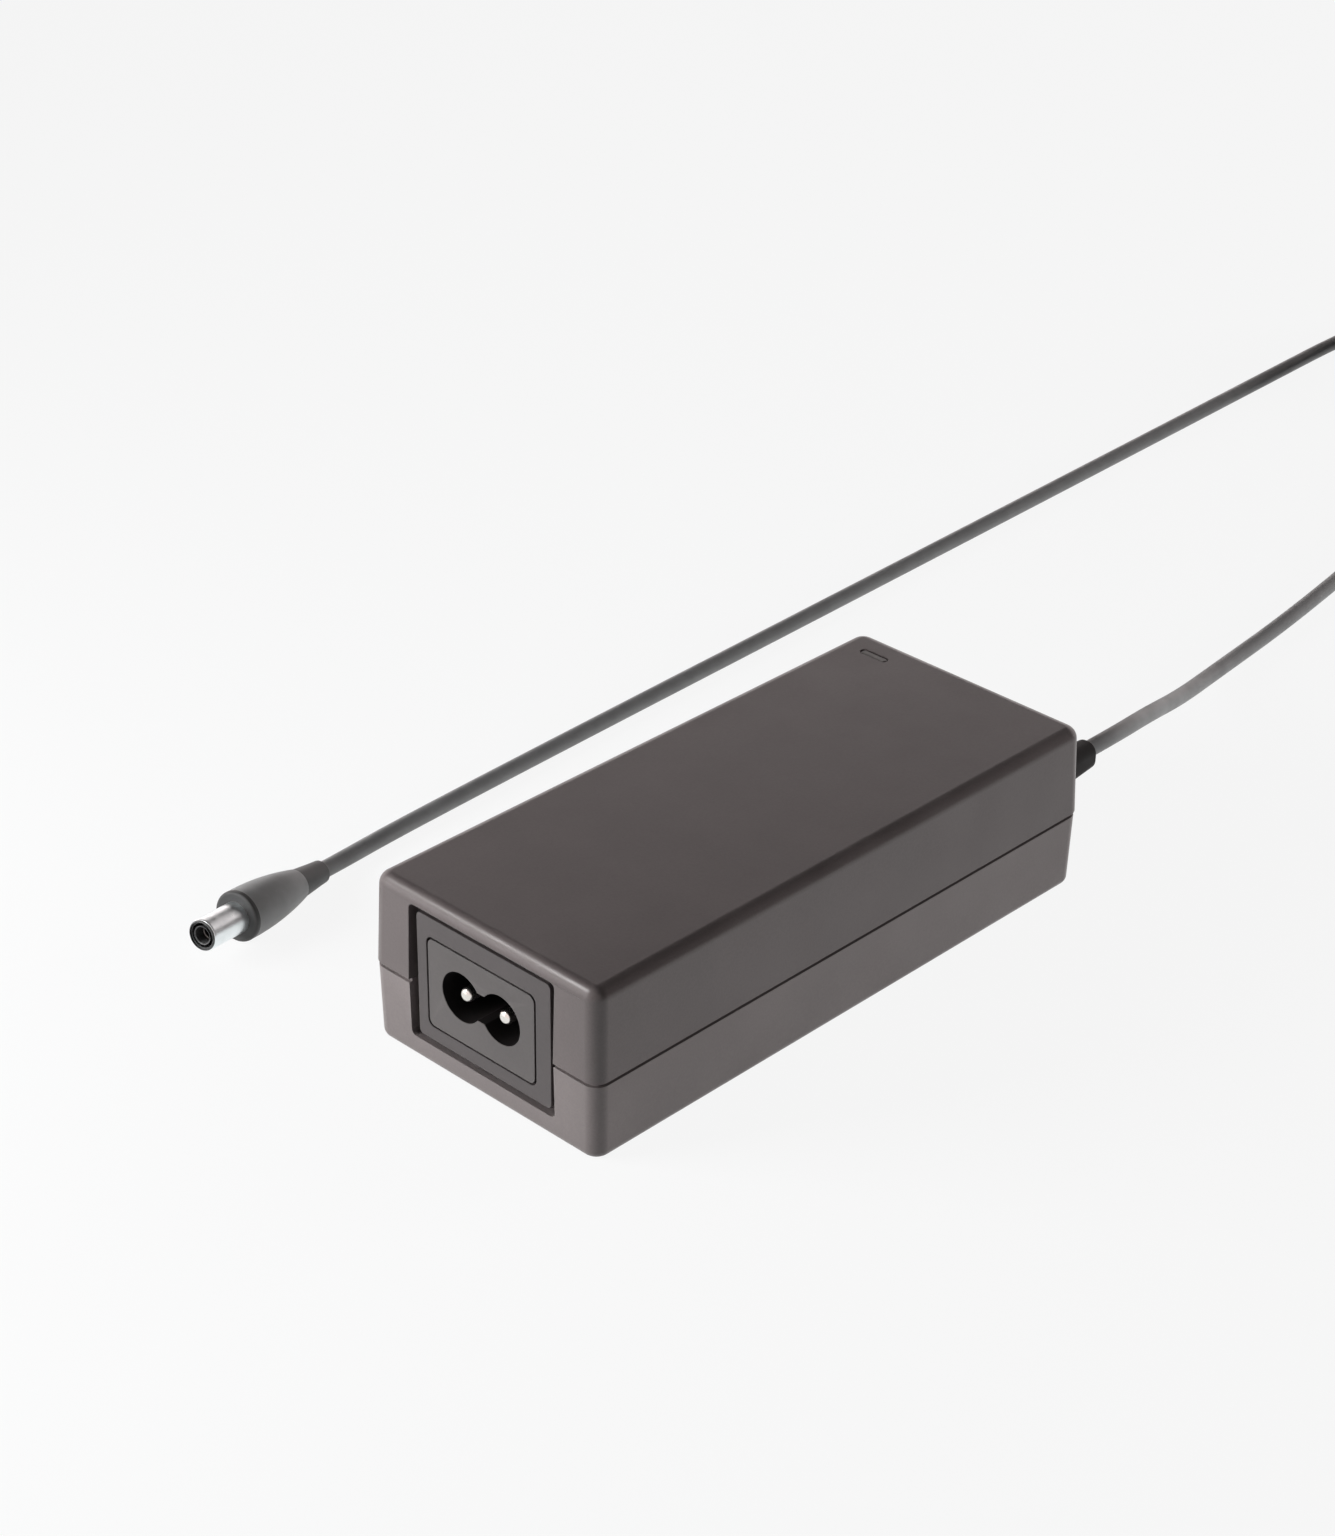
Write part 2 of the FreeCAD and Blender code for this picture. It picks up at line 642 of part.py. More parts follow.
# Indicator: light pipe in the top and the lamp under it
window = new_body("indicator_window", window_x, "window_side")
sketch = new_sketch(window, "XY_Plane", CEILING + " - window_flange")
rectangle(sketch, "-window_width / 2 - window_flange_side", "window_width / 2 + window_flange_side",
          "-window_length / 2 - window_flange_side", "window_length / 2 + window_flange_side")
pad(window, sketch, "window_flange")
sketch = new_sketch(window, "XY_Plane", CEILING)
rounded_rectangle(sketch, "-window_width / 2", "window_width / 2", "-window_length / 2",
                  "window_length / 2", "window_width / 2 - 0.05")
pad(window, sketch, "ceiling_thickness")

led = new_body("indicator_led", window_x, "window_side")
led_top = "(" + CEILING + " - window_flange - led_below_window)"
sketch = new_sketch(led, "XY_Plane", led_top + " - led_height")
circle(sketch, "0", "0", "led_diameter")
pad(led, sketch, "led_height")
fillet(led, level(led_top), "led_diameter / 2 - 0.1")
sketch = new_sketch(led, "XY_Plane", BOARD_TOP)
circle(sketch, "0", "-led_lead_spacing / 2", "led_lead")
circle(sketch, "0", "led_lead_spacing / 2", "led_lead")
pad(led, sketch, led_top + " - led_height - " + BOARD_TOP)

# Strain relief: tapered sleeve, neck in the end wall, collar behind the wall
relief = new_body("strain_relief", "0", "-relief_side", "relief_height")
sketch = new_sketch(relief, "YZ_Plane", CORD_END)
rounded_rectangle(sketch, "-relief_root_width / 2", "relief_root_width / 2",
                  "-relief_root_rise / 2", "relief_root_rise / 2", "relief_root_corner")
pad(relief, sketch, "relief_length", taper="-relief_draft")
fillet(relief, across(CORD_END + " + relief_length"), "relief_tip_round")
sketch = new_sketch(relief, "YZ_Plane", INNER_END)
rounded_rectangle(sketch, "-relief_root_width / 2", "relief_root_width / 2",
                  "-relief_root_rise / 2", "relief_root_rise / 2", "relief_root_corner")
pad(relief, sketch, "case_wall")
sketch = new_sketch(relief, "YZ_Plane", INNER_END)
rounded_rectangle(sketch, "-(relief_root_width / 2 + relief_collar_side)",
                  "relief_root_width / 2 + relief_collar_side",
                  "-(relief_root_rise / 2 + relief_collar_side)",
                  "relief_root_rise / 2 + relief_collar_side", "relief_root_corner")
pad(relief, sketch, "relief_collar", backwards=True)

# Circuit board and the insulating sheet under it
BOARD_START = INLET_END + " + board_from_inlet_end"
BOARD_STOP = CORD_END + " - board_from_cord_end"
board = new_body("circuit_board")
sketch = new_sketch(board, "XY_Plane", BOARD_BOTTOM)
rectangle(sketch, BOARD_START, BOARD_STOP, "-board_width / 2", "board_width / 2")
pad(board, sketch, "board_thickness")

film = new_body("insulation_sheet")
sketch = new_sketch(film, "XY_Plane", "floor_thickness")
rectangle(sketch, BOARD_START + " - sheet_margin", BOARD_STOP + " + sheet_margin",
          "-board_width / 2 - sheet_margin", "board_width / 2 + sheet_margin")
pad(film, sketch, "sheet_thickness")
sketch = new_sketch(film, "XY_Plane", "floor_thickness + sheet_thickness + 1")
four_rounds(sketch, "boss_diameter + 2 * sheet_hole_clearance")
pocket(film, sketch, "sheet_thickness + 2")


def from_inlet(distance):
    return INLET_END + " + " + distance


def from_cord(distance):
    return CORD_END + " - " + distance


def block(name, x, y, depth, width, rise):
    """A box part that stands on the board, centred on its place."""
    body = new_body(name, x, y, BOARD_TOP)
    sketch = new_sketch(body, "XY_Plane")
    rectangle(sketch, f"-{depth} / 2", f"{depth} / 2", f"-{width} / 2", f"{width} / 2")
    pad(body, sketch, rise)
    return body


def can(name, x, y, diameter, rise):
    """An electrolytic capacitor: a crimped can with a rounded top."""
    body = new_body(name, x, y, BOARD_TOP)
    sketch = new_sketch(body, "XZ_Plane")
    edge = f"({diameter} / 2)"
    waist = f"({edge} - can_groove)"
    outline(sketch, [("0", "0"), (edge, "0"), (edge, "can_groove_height - can_groove"),
                     (waist, "can_groove_height"), (edge, "can_groove_height + can_groove"),
                     (edge, rise), ("0", rise)])
    revolve(body, sketch, "Z_Axis")
    chamfer(body, level(rise), "can_edge_round")
    return body


def disc(name, x, y, diameter, thickness, facing):
    """A disc part on two leads, its flat faces across X or Y."""
    body = new_body(name, x, y, BOARD_TOP)
    plane = "YZ_Plane" if facing == "x" else "XZ_Plane"
    sketch = new_sketch(body, plane, f"-{thickness} / 2")
    circle(sketch, "0", f"lead_stand + {diameter} / 2", diameter)
    pad(body, sketch, thickness)
    chamfer(body, lambda edge: edge.Length > number(diameter) * 2, f"{thickness} / 5")
    sketch = new_sketch(body, "XY_Plane")
    for side in ("-lead_spacing / 2", "lead_spacing / 2"):
        if facing == "x":
            circle(sketch, "0", side, "lead_diameter")
        else:
            circle(sketch, side, "0", "lead_diameter")
    pad(body, sketch, f"lead_stand + {diameter} / 2")
    return body


# Mains side: fuse, inrush limiter, filter capacitor
fuse = new_body("mains_fuse", from_inlet("fuse_from_end"), "fuse_side", BOARD_TOP)
sketch = new_sketch(fuse, "XY_Plane")
circle(sketch, "0", "0", "fuse_diameter")
pad(fuse, sketch, "fuse_rise")
chamfer(fuse, level("fuse_rise"), "can_edge_round")
disc("inrush_limiter", from_inlet("limiter_from_end"), "limiter_side", "limiter_diameter",
     "limiter_thickness", "x")
filter_cap = block("filter_capacitor", from_inlet("filter_cap_from_end"), "filter_cap_side",
                   "filter_cap_depth", "filter_cap_width", "filter_cap_rise")
fillet(filter_cap, upright, "filter_cap_round")

# Common-mode choke: ring core on edge, two windings round it, a base with a rib
CHOKE_CENTRE = "(choke_base_rise + choke_wire + choke_outer / 2)"
base = new_body("choke_base", from_inlet("choke_from_end"), "choke_side", BOARD_TOP)
sketch = new_sketch(base, "XY_Plane")
rectangle(sketch, "-choke_base_depth / 2", "choke_base_depth / 2", "-choke_base_width / 2",
          "choke_base_width / 2")
pad(base, sketch, "choke_base_rise")
sketch = new_sketch(base, "XY_Plane")
rectangle(sketch, "-choke_depth / 2", "choke_depth / 2", "-choke_rib_width / 2",
          "choke_rib_width / 2")
pad(base, sketch, "choke_base_rise + choke_wire")

core = new_body("choke_core", from_inlet("choke_from_end"), "choke_side",
                BOARD_TOP + " + " + CHOKE_CENTRE)
sketch = new_sketch(core, "YZ_Plane", "-choke_depth / 2")
circle(sketch, "0", "0", "choke_outer")
circle(sketch, "0", "0", "choke_inner")
pad(core, sketch, "choke_depth")


def choke_winding(name, turn):
    """A sector of wire wrapped round the ring, centred on one side of it."""
    body = new_body(name, from_inlet("choke_from_end"), "choke_side",
                    BOARD_TOP + " + " + CHOKE_CENTRE)
    sketch = new_sketch(body, "XY_Plane")
    rectangle(sketch, "-choke_depth / 2 - choke_wire", "choke_depth / 2 + choke_wire",
              "choke_inner / 2 - choke_wire", "choke_outer / 2 + choke_wire")
    rectangle(sketch, "-choke_depth / 2", "choke_depth / 2", "choke_inner / 2", "choke_outer / 2")
    feature = revolve(body, sketch, "X_Axis", "choke_wound_angle")
    feature.Midplane = True
    body.setExpression("Placement.Rotation.Roll", turn)
    doc.recompute()
    return body


choke_winding("choke_winding_left", "0")
choke_winding("choke_winding_right", "180")

# Bridge rectifier with its notched corner, and the bulk capacitor
bridge = new_body("bridge_rectifier", from_inlet("bridge_from_end"), "bridge_side", BOARD_TOP)
sketch = new_sketch(bridge, "YZ_Plane", "-bridge_depth / 2")
outline(sketch, [("-bridge_width / 2", "0"), ("bridge_width / 2", "0"),
                 ("bridge_width / 2", "bridge_rise - bridge_corner"),
                 ("bridge_width / 2 - bridge_corner", "bridge_rise"),
                 ("-bridge_width / 2", "bridge_rise")])
pad(bridge, sketch, "bridge_depth")
can("bulk_capacitor", from_inlet("bulk_from_end"), "bulk_side", "bulk_diameter", "bulk_rise")


# Power devices, each screwed flat to an upright aluminium plate with a bent foot
SCREW_RISE = "(device_lead_length + device_body_rise + device_tab_rise - screw_down_tab)"


def heat_sink(name, x, length):
    body = new_body(name, x, "sink_side", BOARD_TOP)
    sketch = new_sketch(body, "YZ_Plane", f"-{length} / 2")
    outline(sketch, [("-sink_foot / 2", "0"), ("sink_thickness", "0"),
                     ("sink_thickness", "sink_rise"), ("0", "sink_rise"),
                     ("0", "sink_thickness"), ("-sink_foot / 2", "sink_thickness")])
    pad(body, sketch, length)
    sketch = new_sketch(body, "XZ_Plane", "-sink_thickness - 1")
    circle(sketch, "0", SCREW_RISE, "screw_diameter + 2 * screw_clearance")
    pocket(body, sketch, "sink_thickness + 2", backwards=True)
    return body


def power_device(name, x):
    """A moulded body with a metal tab above it and three flat leads below."""
    body = new_body(name, x, "sink_side", BOARD_TOP)
    half = "device_width / 2"
    sketch = new_sketch(body, "XY_Plane", "device_lead_length")
    rectangle(sketch, f"-{half}", half, "-device_thickness", "0")
    pad(body, sketch, "device_body_rise")
    sketch = new_sketch(body, "XY_Plane", "device_lead_length")
    rectangle(sketch, f"-{half}", half, "-device_tab_thickness", "0")
    pad(body, sketch, "device_body_rise + device_tab_rise")
    sketch = new_sketch(body, "XY_Plane")
    for place in ("-device_lead_pitch", "0", "device_lead_pitch"):
        rectangle(sketch, f"{place} - device_lead_width / 2", f"{place} + device_lead_width / 2",
                  "-device_thickness / 2 - 0.7", "-device_thickness / 2")
    pad(body, sketch, "device_lead_length")
    sketch = new_sketch(body, "XZ_Plane", "-1")
    circle(sketch, "0", SCREW_RISE, "screw_diameter + 2 * screw_clearance")
    pocket(body, sketch, "device_tab_thickness + 2", backwards=True)
    return body


def device_screw(name, x):
    body = new_body(name, x, "sink_side", BOARD_TOP + " + " + SCREW_RISE)
    sketch = new_sketch(body, "XZ_Plane", "device_tab_thickness")
    circle(sketch, "0", "0", "screw_head_diameter")
    pad(body, sketch, "screw_head_rise")
    sketch = new_sketch(body, "XZ_Plane", "device_tab_thickness")
    circle(sketch, "0", "0", "screw_diameter")
    pad(body, sketch, "device_tab_thickness + sink_thickness + screw_tail", backwards=True)
    return body


heat_sink("primary_heat_sink", from_inlet("primary_sink_from_end"), "primary_sink_length")
power_device("switching_transistor", from_inlet("primary_sink_from_end"))
device_screw("transistor_screw", from_inlet("primary_sink_from_end"))
heat_sink("output_heat_sink", from_cord("output_sink_from_end"), "output_sink_length")
power_device("output_rectifier", from_cord("output_sink_from_end"))
device_screw("rectifier_screw", from_cord("output_sink_from_end"))

# Transformer: ferrite frame with a centre limb, bobbin round the limb, winding between flanges
CORE_Z = BOARD_TOP + " + core_rise"
LIMB_WINDOW = "(core_length / 2 - core_limb)"
ferrite = new_body("transformer_core", from_cord("transformer_from_end"), "transformer_side",
                   CORE_Z)
sketch = new_sketch(ferrite, "XY_Plane", "-core_thickness / 2")
rectangle(sketch, "-core_length / 2", "core_length / 2", "-core_width / 2", "core_width / 2")
rectangle(sketch, f"-{LIMB_WINDOW}", LIMB_WINDOW, "core_centre_limb / 2",
          "core_width / 2 - core_limb")
rectangle(sketch, f"-{LIMB_WINDOW}", LIMB_WINDOW, "-(core_width / 2 - core_limb)",
          "-core_centre_limb / 2")
pad(ferrite, sketch, "core_thickness")

bobbin = new_body("transformer_bobbin", from_cord("transformer_from_end"), "transformer_side",
                  CORE_Z)
TUBE_Y = "(core_centre_limb / 2 + bobbin_play + bobbin_wall)"
TUBE_Z = "(core_thickness / 2 + bobbin_play + bobbin_wall)"
BOBBIN_END = "(core_length / 2 - core_limb - bobbin_play)"
sketch = new_sketch(bobbin, "YZ_Plane", f"-{BOBBIN_END}")
rectangle(sketch, f"-{TUBE_Y}", TUBE_Y, f"-{TUBE_Z}", TUBE_Z)
pad(bobbin, sketch, f"2 * {BOBBIN_END}")
for start in (f"-{BOBBIN_END}", f"{BOBBIN_END} - bobbin_flange"):
    sketch = new_sketch(bobbin, "YZ_Plane", start)
    rectangle(sketch, "-bobbin_flange_width / 2", "bobbin_flange_width / 2", "-core_rise",
              f"{TUBE_Z} + winding_thickness + 0.6")
    pad(bobbin, sketch, "bobbin_flange")
sketch = new_sketch(bobbin, "YZ_Plane", f"-{BOBBIN_END} - 1")
rectangle(sketch, "-(core_centre_limb / 2 + bobbin_play)", "core_centre_limb / 2 + bobbin_play",
          "-(core_thickness / 2 + bobbin_play)", "core_thickness / 2 + bobbin_play")
pocket(bobbin, sketch, f"2 * {BOBBIN_END} + 2", backwards=True)

winding = new_body("transformer_winding", from_cord("transformer_from_end"), "transformer_side",
                   CORE_Z)
sketch = new_sketch(winding, "YZ_Plane", f"-{BOBBIN_END} + bobbin_flange")
rounded_rectangle(sketch, f"-({TUBE_Y} + winding_thickness)", f"{TUBE_Y} + winding_thickness",
                  f"-({TUBE_Z} + winding_thickness)", f"{TUBE_Z} + winding_thickness",
                  "winding_round")
rectangle(sketch, f"-{TUBE_Y}", TUBE_Y, f"-{TUBE_Z}", TUBE_Z)
pad(winding, sketch, f"2 * ({BOBBIN_END} - bobbin_flange)")

# Output side: safety capacitor, optocoupler, output capacitors, inductor
disc("safety_capacitor", from_cord("safety_cap_from_end"), "safety_cap_side",
     "safety_cap_diameter", "safety_cap_thickness", "y")
coupler = block("optocoupler", from_cord("coupler_from_end"), "coupler_side", "coupler_length",
                "coupler_width", "coupler_rise")
chamfer(coupler, level("coupler_rise"), "0.5")
can("output_capacitor_near", from_cord("output_cap_from_end"),
    "output_cap_side - output_cap_pitch", "output_cap_diameter", "output_cap_rise")
can("output_capacitor_far", from_cord("output_cap_from_end"), "output_cap_side",
    "output_cap_diameter", "output_cap_rise")

drum = new_body("inductor_core", from_cord("inductor_from_end"), "inductor_side", BOARD_TOP)
sketch = new_sketch(drum, "XZ_Plane")
outline(sketch, [("0", "0"), ("inductor_diameter / 2", "0"),
                 ("inductor_diameter / 2", "inductor_flange"),
                 ("inductor_stem / 2", "inductor_flange"),
                 ("inductor_stem / 2", "inductor_rise - inductor_flange"),
                 ("inductor_diameter / 2", "inductor_rise - inductor_flange"),
                 ("inductor_diameter / 2", "inductor_rise"), ("0", "inductor_rise")])
revolve(drum, sketch, "Z_Axis")
turns = new_body("inductor_winding", from_cord("inductor_from_end"), "inductor_side", BOARD_TOP)
sketch = new_sketch(turns, "XY_Plane", "inductor_flange")
circle(sketch, "0", "0", "inductor_winding")
circle(sketch, "0", "0", "inductor_stem")
pad(turns, sketch, "inductor_rise - 2 * inductor_flange")


def output_wire(name, side):
    """A wire from the strain relief's collar, bent down onto the board."""
    body = new_body(name, from_cord("wire_from_end"), f"-relief_side + {side} * wire_spacing / 2",
                    "relief_height")
    reach = "(wire_from_end - case_wall - relief_collar)"
    drop = "(relief_height - " + BOARD_TOP + ")"
    path = new_sketch(body, "XZ_Plane")
    bend = number("wire_bend")
    far = number(reach)
    low = -number(drop)
    run = path.addGeometry(Part.LineSegment(flat(far, 0), flat(bend, 0)), False)
    turn = path.addGeometry(Part.ArcOfCircle(Part.Circle(flat(bend, -bend),
                                                         FreeCAD.Vector(0, 0, 1), bend),
                                             math.pi / 2, math.pi), False)
    fall = path.addGeometry(Part.LineSegment(flat(0, -bend), flat(0, low)), False)
    path.addConstraint(Sketcher.Constraint("Tangent", run, 2, turn, 1))
    path.addConstraint(Sketcher.Constraint("Tangent", turn, 2, fall, 1))
    path.addConstraint(Sketcher.Constraint("Horizontal", run))
    path.addConstraint(Sketcher.Constraint("Vertical", fall))
    place_point(path, run, 1, reach, "0")
    place_point(path, fall, 2, "0", "-" + drop)
    dimension(path, "Radius", "wire_bend", turn)
    section = new_sketch(body, "YZ_Plane", reach)
    circle(section, "0", "0", "wire_diameter")
    pipe = body.newObject("PartDesign::AdditivePipe", body.Name + "_run")
    pipe.Profile = section
    pipe.Spine = (path, ["Edge1", "Edge2", "Edge3"])
    doc.recompute()
    return body


output_wire("output_wire_near", "-1")
output_wire("output_wire_far", "1")


# Plug, drawn along its own axis from the tip, then laid on the table
def plug_body(name):
    body = new_body(name, "plug_tip_across", "plug_tip_along", "plug_tip_rise")
    body.setExpression("Placement.Rotation.Yaw", on_sheet("plug_yaw"))
    body.setExpression("Placement.Rotation.Pitch", on_sheet("plug_pitch"))
    return body


def ring_profile(body, inner, outer, start, stop):
    sketch = new_sketch(body, "XZ_Plane")
    rectangle(sketch, start, stop, inner, outer)
    revolve(body, sketch, "X_Axis")


barrel = plug_body("plug_barrel")
sketch = new_sketch(barrel, "XZ_Plane")
outline(sketch, [("0", "barrel_bore / 2"), ("barrel_length + barrel_seat", "barrel_bore / 2"),
                 ("barrel_length + barrel_seat", "barrel_shank_diameter / 2"),
                 ("barrel_length", "barrel_shank_diameter / 2"),
                 ("barrel_length", "barrel_diameter / 2"), ("0", "barrel_diameter / 2")])
revolve(barrel, sketch, "X_Axis")
insulator = plug_body("plug_insulator")
ring_profile(insulator, "insulator_bore / 2", "barrel_bore / 2", "insulator_set",
             "barrel_length + barrel_seat")
contact = plug_body("plug_contact")
ring_profile(contact, "contact_bore / 2", "insulator_bore / 2", "contact_set",
             "barrel_length + barrel_seat")

PLUG_LENGTH = "(barrel_length + overmould_length + collar_length)"
overmould = plug_body("plug_overmould")
sketch = new_sketch(overmould, "XZ_Plane")
front = number("barrel_length")
back = front + number("overmould_length")
tail = number(PLUG_LENGTH)
seat = front + number("barrel_seat")
front_radius = number("overmould_front / 2")
back_radius = number("overmould_back / 2")
collar_radius = number("collar_diameter / 2")
bulge = number("overmould_bulge")
start = flat(front, front_radius)
stop = flat(back, back_radius)
chord = stop - start
square = FreeCAD.Vector(chord.y, -chord.x, 0).normalize()
middle = (start + stop) / 2 + square * math.sqrt(bulge ** 2 - chord.Length ** 2 / 4)
if middle.y > 0:
    middle = (start + stop) / 2 - square * math.sqrt(bulge ** 2 - chord.Length ** 2 / 4)
first = math.atan2(stop.y - middle.y, stop.x - middle.x)
last = math.atan2(start.y - middle.y, start.x - middle.x)
crown = sketch.addGeometry(Part.ArcOfCircle(Part.Circle(middle, FreeCAD.Vector(0, 0, 1), bulge),
                                            first, last), False)
inner_radius = number("barrel_shank_diameter / 2")
corners = [(back, back_radius), (back, collar_radius), (tail, collar_radius), (tail, 0), (seat, 0),
           (seat, inner_radius), (front, inner_radius), (front, front_radius)]
lines = []
for (x0, y0), (x1, y1) in zip(corners, corners[1:]):
    lines.append(sketch.addGeometry(Part.LineSegment(flat(x0, y0), flat(x1, y1)), False))
sketch.addConstraint(Sketcher.Constraint("Coincident", crown, 1, lines[0], 1))
for one, two in zip(lines, lines[1:]):
    sketch.addConstraint(Sketcher.Constraint("Coincident", one, 2, two, 1))
sketch.addConstraint(Sketcher.Constraint("Coincident", lines[-1], 2, crown, 2))
for line, x, y in ((lines[0], "barrel_length + overmould_length", "overmould_back / 2"),
                   (lines[1], "barrel_length + overmould_length", "collar_diameter / 2"),
                   (lines[2], PLUG_LENGTH, "collar_diameter / 2"),
                   (lines[3], PLUG_LENGTH, "0"),
                   (lines[4], "barrel_length + barrel_seat", "0"),
                   (lines[5], "barrel_length + barrel_seat", "barrel_shank_diameter / 2"),
                   (lines[6], "barrel_length", "barrel_shank_diameter / 2")):
    place_point(sketch, line, 1, x, y)
place_point(sketch, lines[6], 2, "barrel_length", "overmould_front / 2")
dimension(sketch, "Radius", "overmould_bulge", crown)
revolve(overmould, sketch, "X_Axis")
fillet(overmould, lambda edge: abs(edge.BoundBox.XMin - front) < 1e-4
       and abs(edge.BoundBox.XMax - front) < 1e-4
       and abs(edge.BoundBox.ZMax - front_radius) < 1e-3, "overmould_edge_round")
chamfer(overmould, lambda edge: abs(edge.BoundBox.XMin - tail) < 1e-4
       and abs(edge.BoundBox.XMax - tail) < 1e-4, "0.3")


# Cord: straight runs joined by tangent arcs. The points are chosen by hand
FLOOR = number("cord_diameter / 2")
COIL_CENTRE = vector("coil_across", "coil_along", "0")
COIL_SIDE = number("coil_mean_diameter / 2 + cord_diameter / 2")
COIL_LEAD = number("coil_lead")
relief_tip = vector(CORD_END + " + relief_length", "-relief_side", "relief_height")
turned = FreeCAD.Rotation(number("plug_yaw"), number("plug_pitch"), 0)
plug_tip = vector("plug_tip_across", "plug_tip_along", "plug_tip_rise")
plug_axis = turned.multVec(FreeCAD.Vector(1, 0, 0))
plug_end = plug_tip + plug_axis * number(PLUG_LENGTH)

CASE_ROUTE = [
    relief_tip,
    relief_tip + vector("cord_straight", "0", "0"),
    FreeCAD.Vector(98.0, -8.6, 10.2),
    FreeCAD.Vector(116.0, -3.0, 4.6),
    FreeCAD.Vector(134.0, 1.6, FLOOR),
    FreeCAD.Vector(162.0, 4.4, FLOOR),
    FreeCAD.Vector(204.0, 11.0, FLOOR),
    FreeCAD.Vector(242.0, 28.0, FLOOR),
    FreeCAD.Vector(270.0, COIL_CENTRE.y - COIL_SIDE, FLOOR),
    FreeCAD.Vector(COIL_CENTRE.x - COIL_LEAD, COIL_CENTRE.y - COIL_SIDE, FLOOR),
]
PLUG_ROUTE = [
    plug_end,
    plug_end + plug_axis * ((plug_end.z - FLOOR) / -plug_axis.z),
    FreeCAD.Vector(278.0, COIL_CENTRE.y + COIL_SIDE, FLOOR),
    FreeCAD.Vector(COIL_CENTRE.x - COIL_LEAD, COIL_CENTRE.y + COIL_SIDE, FLOOR),
]


def tube(name, points, diameter):
    """A round tube along the points, its corners turned by tangent arcs."""
    edges = []
    radii = []
    start = points[0]
    for before, corner, after in zip(points, points[1:], points[2:]):
        back = before - corner
        ahead = after - corner
        reach = 0.45 * min(back.Length, ahead.Length)
        turn = math.pi - back.getAngle(ahead)
        radius = reach / math.tan(turn / 2)
        back.normalize()
        ahead.normalize()
        first = corner + back * reach
        last = corner + ahead * reach
        half = (back + ahead).normalize()
        centre = corner + half * (radius / math.cos(turn / 2))
        crest = centre - half * radius
        edges.append(Part.LineSegment(start, first).toShape())
        edges.append(Part.Arc(first, crest, last).toShape())
        radii.append(round(radius, 1))
        start = last
    edges.append(Part.LineSegment(start, points[-1]).toShape())
    path = Part.Wire(edges)
    section = Part.Wire(Part.makeCircle(diameter / 2, points[0], points[1] - points[0]))
    solid = path.makePipeShell([section], True, False)
    wanted = math.pi * diameter ** 2 / 4 * path.Length
    print(f"{name}: length {path.Length:.1f}, bend radii {radii}, "
          f"volume {solid.Volume:.1f} of {wanted:.1f}")
    if abs(solid.Volume / wanted - 1) > 0.005:
        raise RuntimeError(name + ": the tube's volume is wrong")
    item = doc.addObject("Part::Feature", name)
    item.Label = name
    item.Shape = solid
    return path.Length


case_run = tube("cord_from_case", CASE_ROUTE, number("cord_diameter"))
plug_run = tube("cord_to_plug", PLUG_ROUTE, number("cord_diameter"))
coiled = 5.5 * math.pi * number("coil_mean_diameter") + 2 * COIL_LEAD
print(f"cord length in all {case_run + plug_run + coiled:.0f}")

coil = new_body("cord_coil", "coil_across", "coil_along")
sketch = new_sketch(coil, "XZ_Plane")
ring_in = "(coil_mean_diameter - coil_ring_width) / 2"
ring_out = "(coil_mean_diameter + coil_ring_width) / 2"
outline(sketch, [(ring_in + " + coil_ring_round", "0.02"), (ring_out + " - coil_ring_round", "0.02"),
                 (ring_out, "0.02 + coil_ring_round"), (ring_out, "coil_ring_rise - coil_ring_round"),
                 (ring_out + " - coil_ring_round", "coil_ring_rise"),
                 (ring_in + " + coil_ring_round", "coil_ring_rise"),
                 (ring_in, "coil_ring_rise - coil_ring_round"), (ring_in, "0.02 + coil_ring_round")])
revolve(coil, sketch, "Z_Axis")
sketch = new_sketch(coil, "YZ_Plane", "-coil_lead")
for side in ("-", ""):
    circle(sketch, f"{side}(coil_mean_diameter / 2 + cord_diameter / 2)", "cord_diameter / 2",
           "cord_diameter")
pad(coil, sketch, "coil_lead")

# Check and write every piece
doc.recompute()
pieces = [item for item in doc.Objects
          if item.TypeId == "PartDesign::Body" or item.TypeId == "Part::Feature"]
for item in doc.Objects:
    if "Invalid" in item.State or "Error" in item.State:
        raise RuntimeError(f"{item.Label}: {item.State}")
for item in pieces:
    shape = item.Shape
    if shape.isNull() or not shape.isValid() or len(shape.Solids) != 1:
        raise RuntimeError(f"{item.Label}: {len(shape.Solids)} solids, valid {shape.isValid()}")
    shape.exportStep(f"parts/{item.Label}.step")
print(len(pieces), "pieces written")
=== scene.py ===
# %% [markdown]
# # Battery charger with a figure-8 mains inlet
#
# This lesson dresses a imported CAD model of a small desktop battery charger.
# The real object is a box of two plastic mouldings, welded together round the middle. One short end
# carries a separate plate with the mains inlet in it. A thin cord leaves the other short end and
# ends in a barrel plug. Everything is in metres, in the same frame as the CAD model, so each piece
# goes exactly where the CAD says.

# %% Load the frame
import json
import math
import bmesh
import bpy
from mathutils import Matrix, Vector


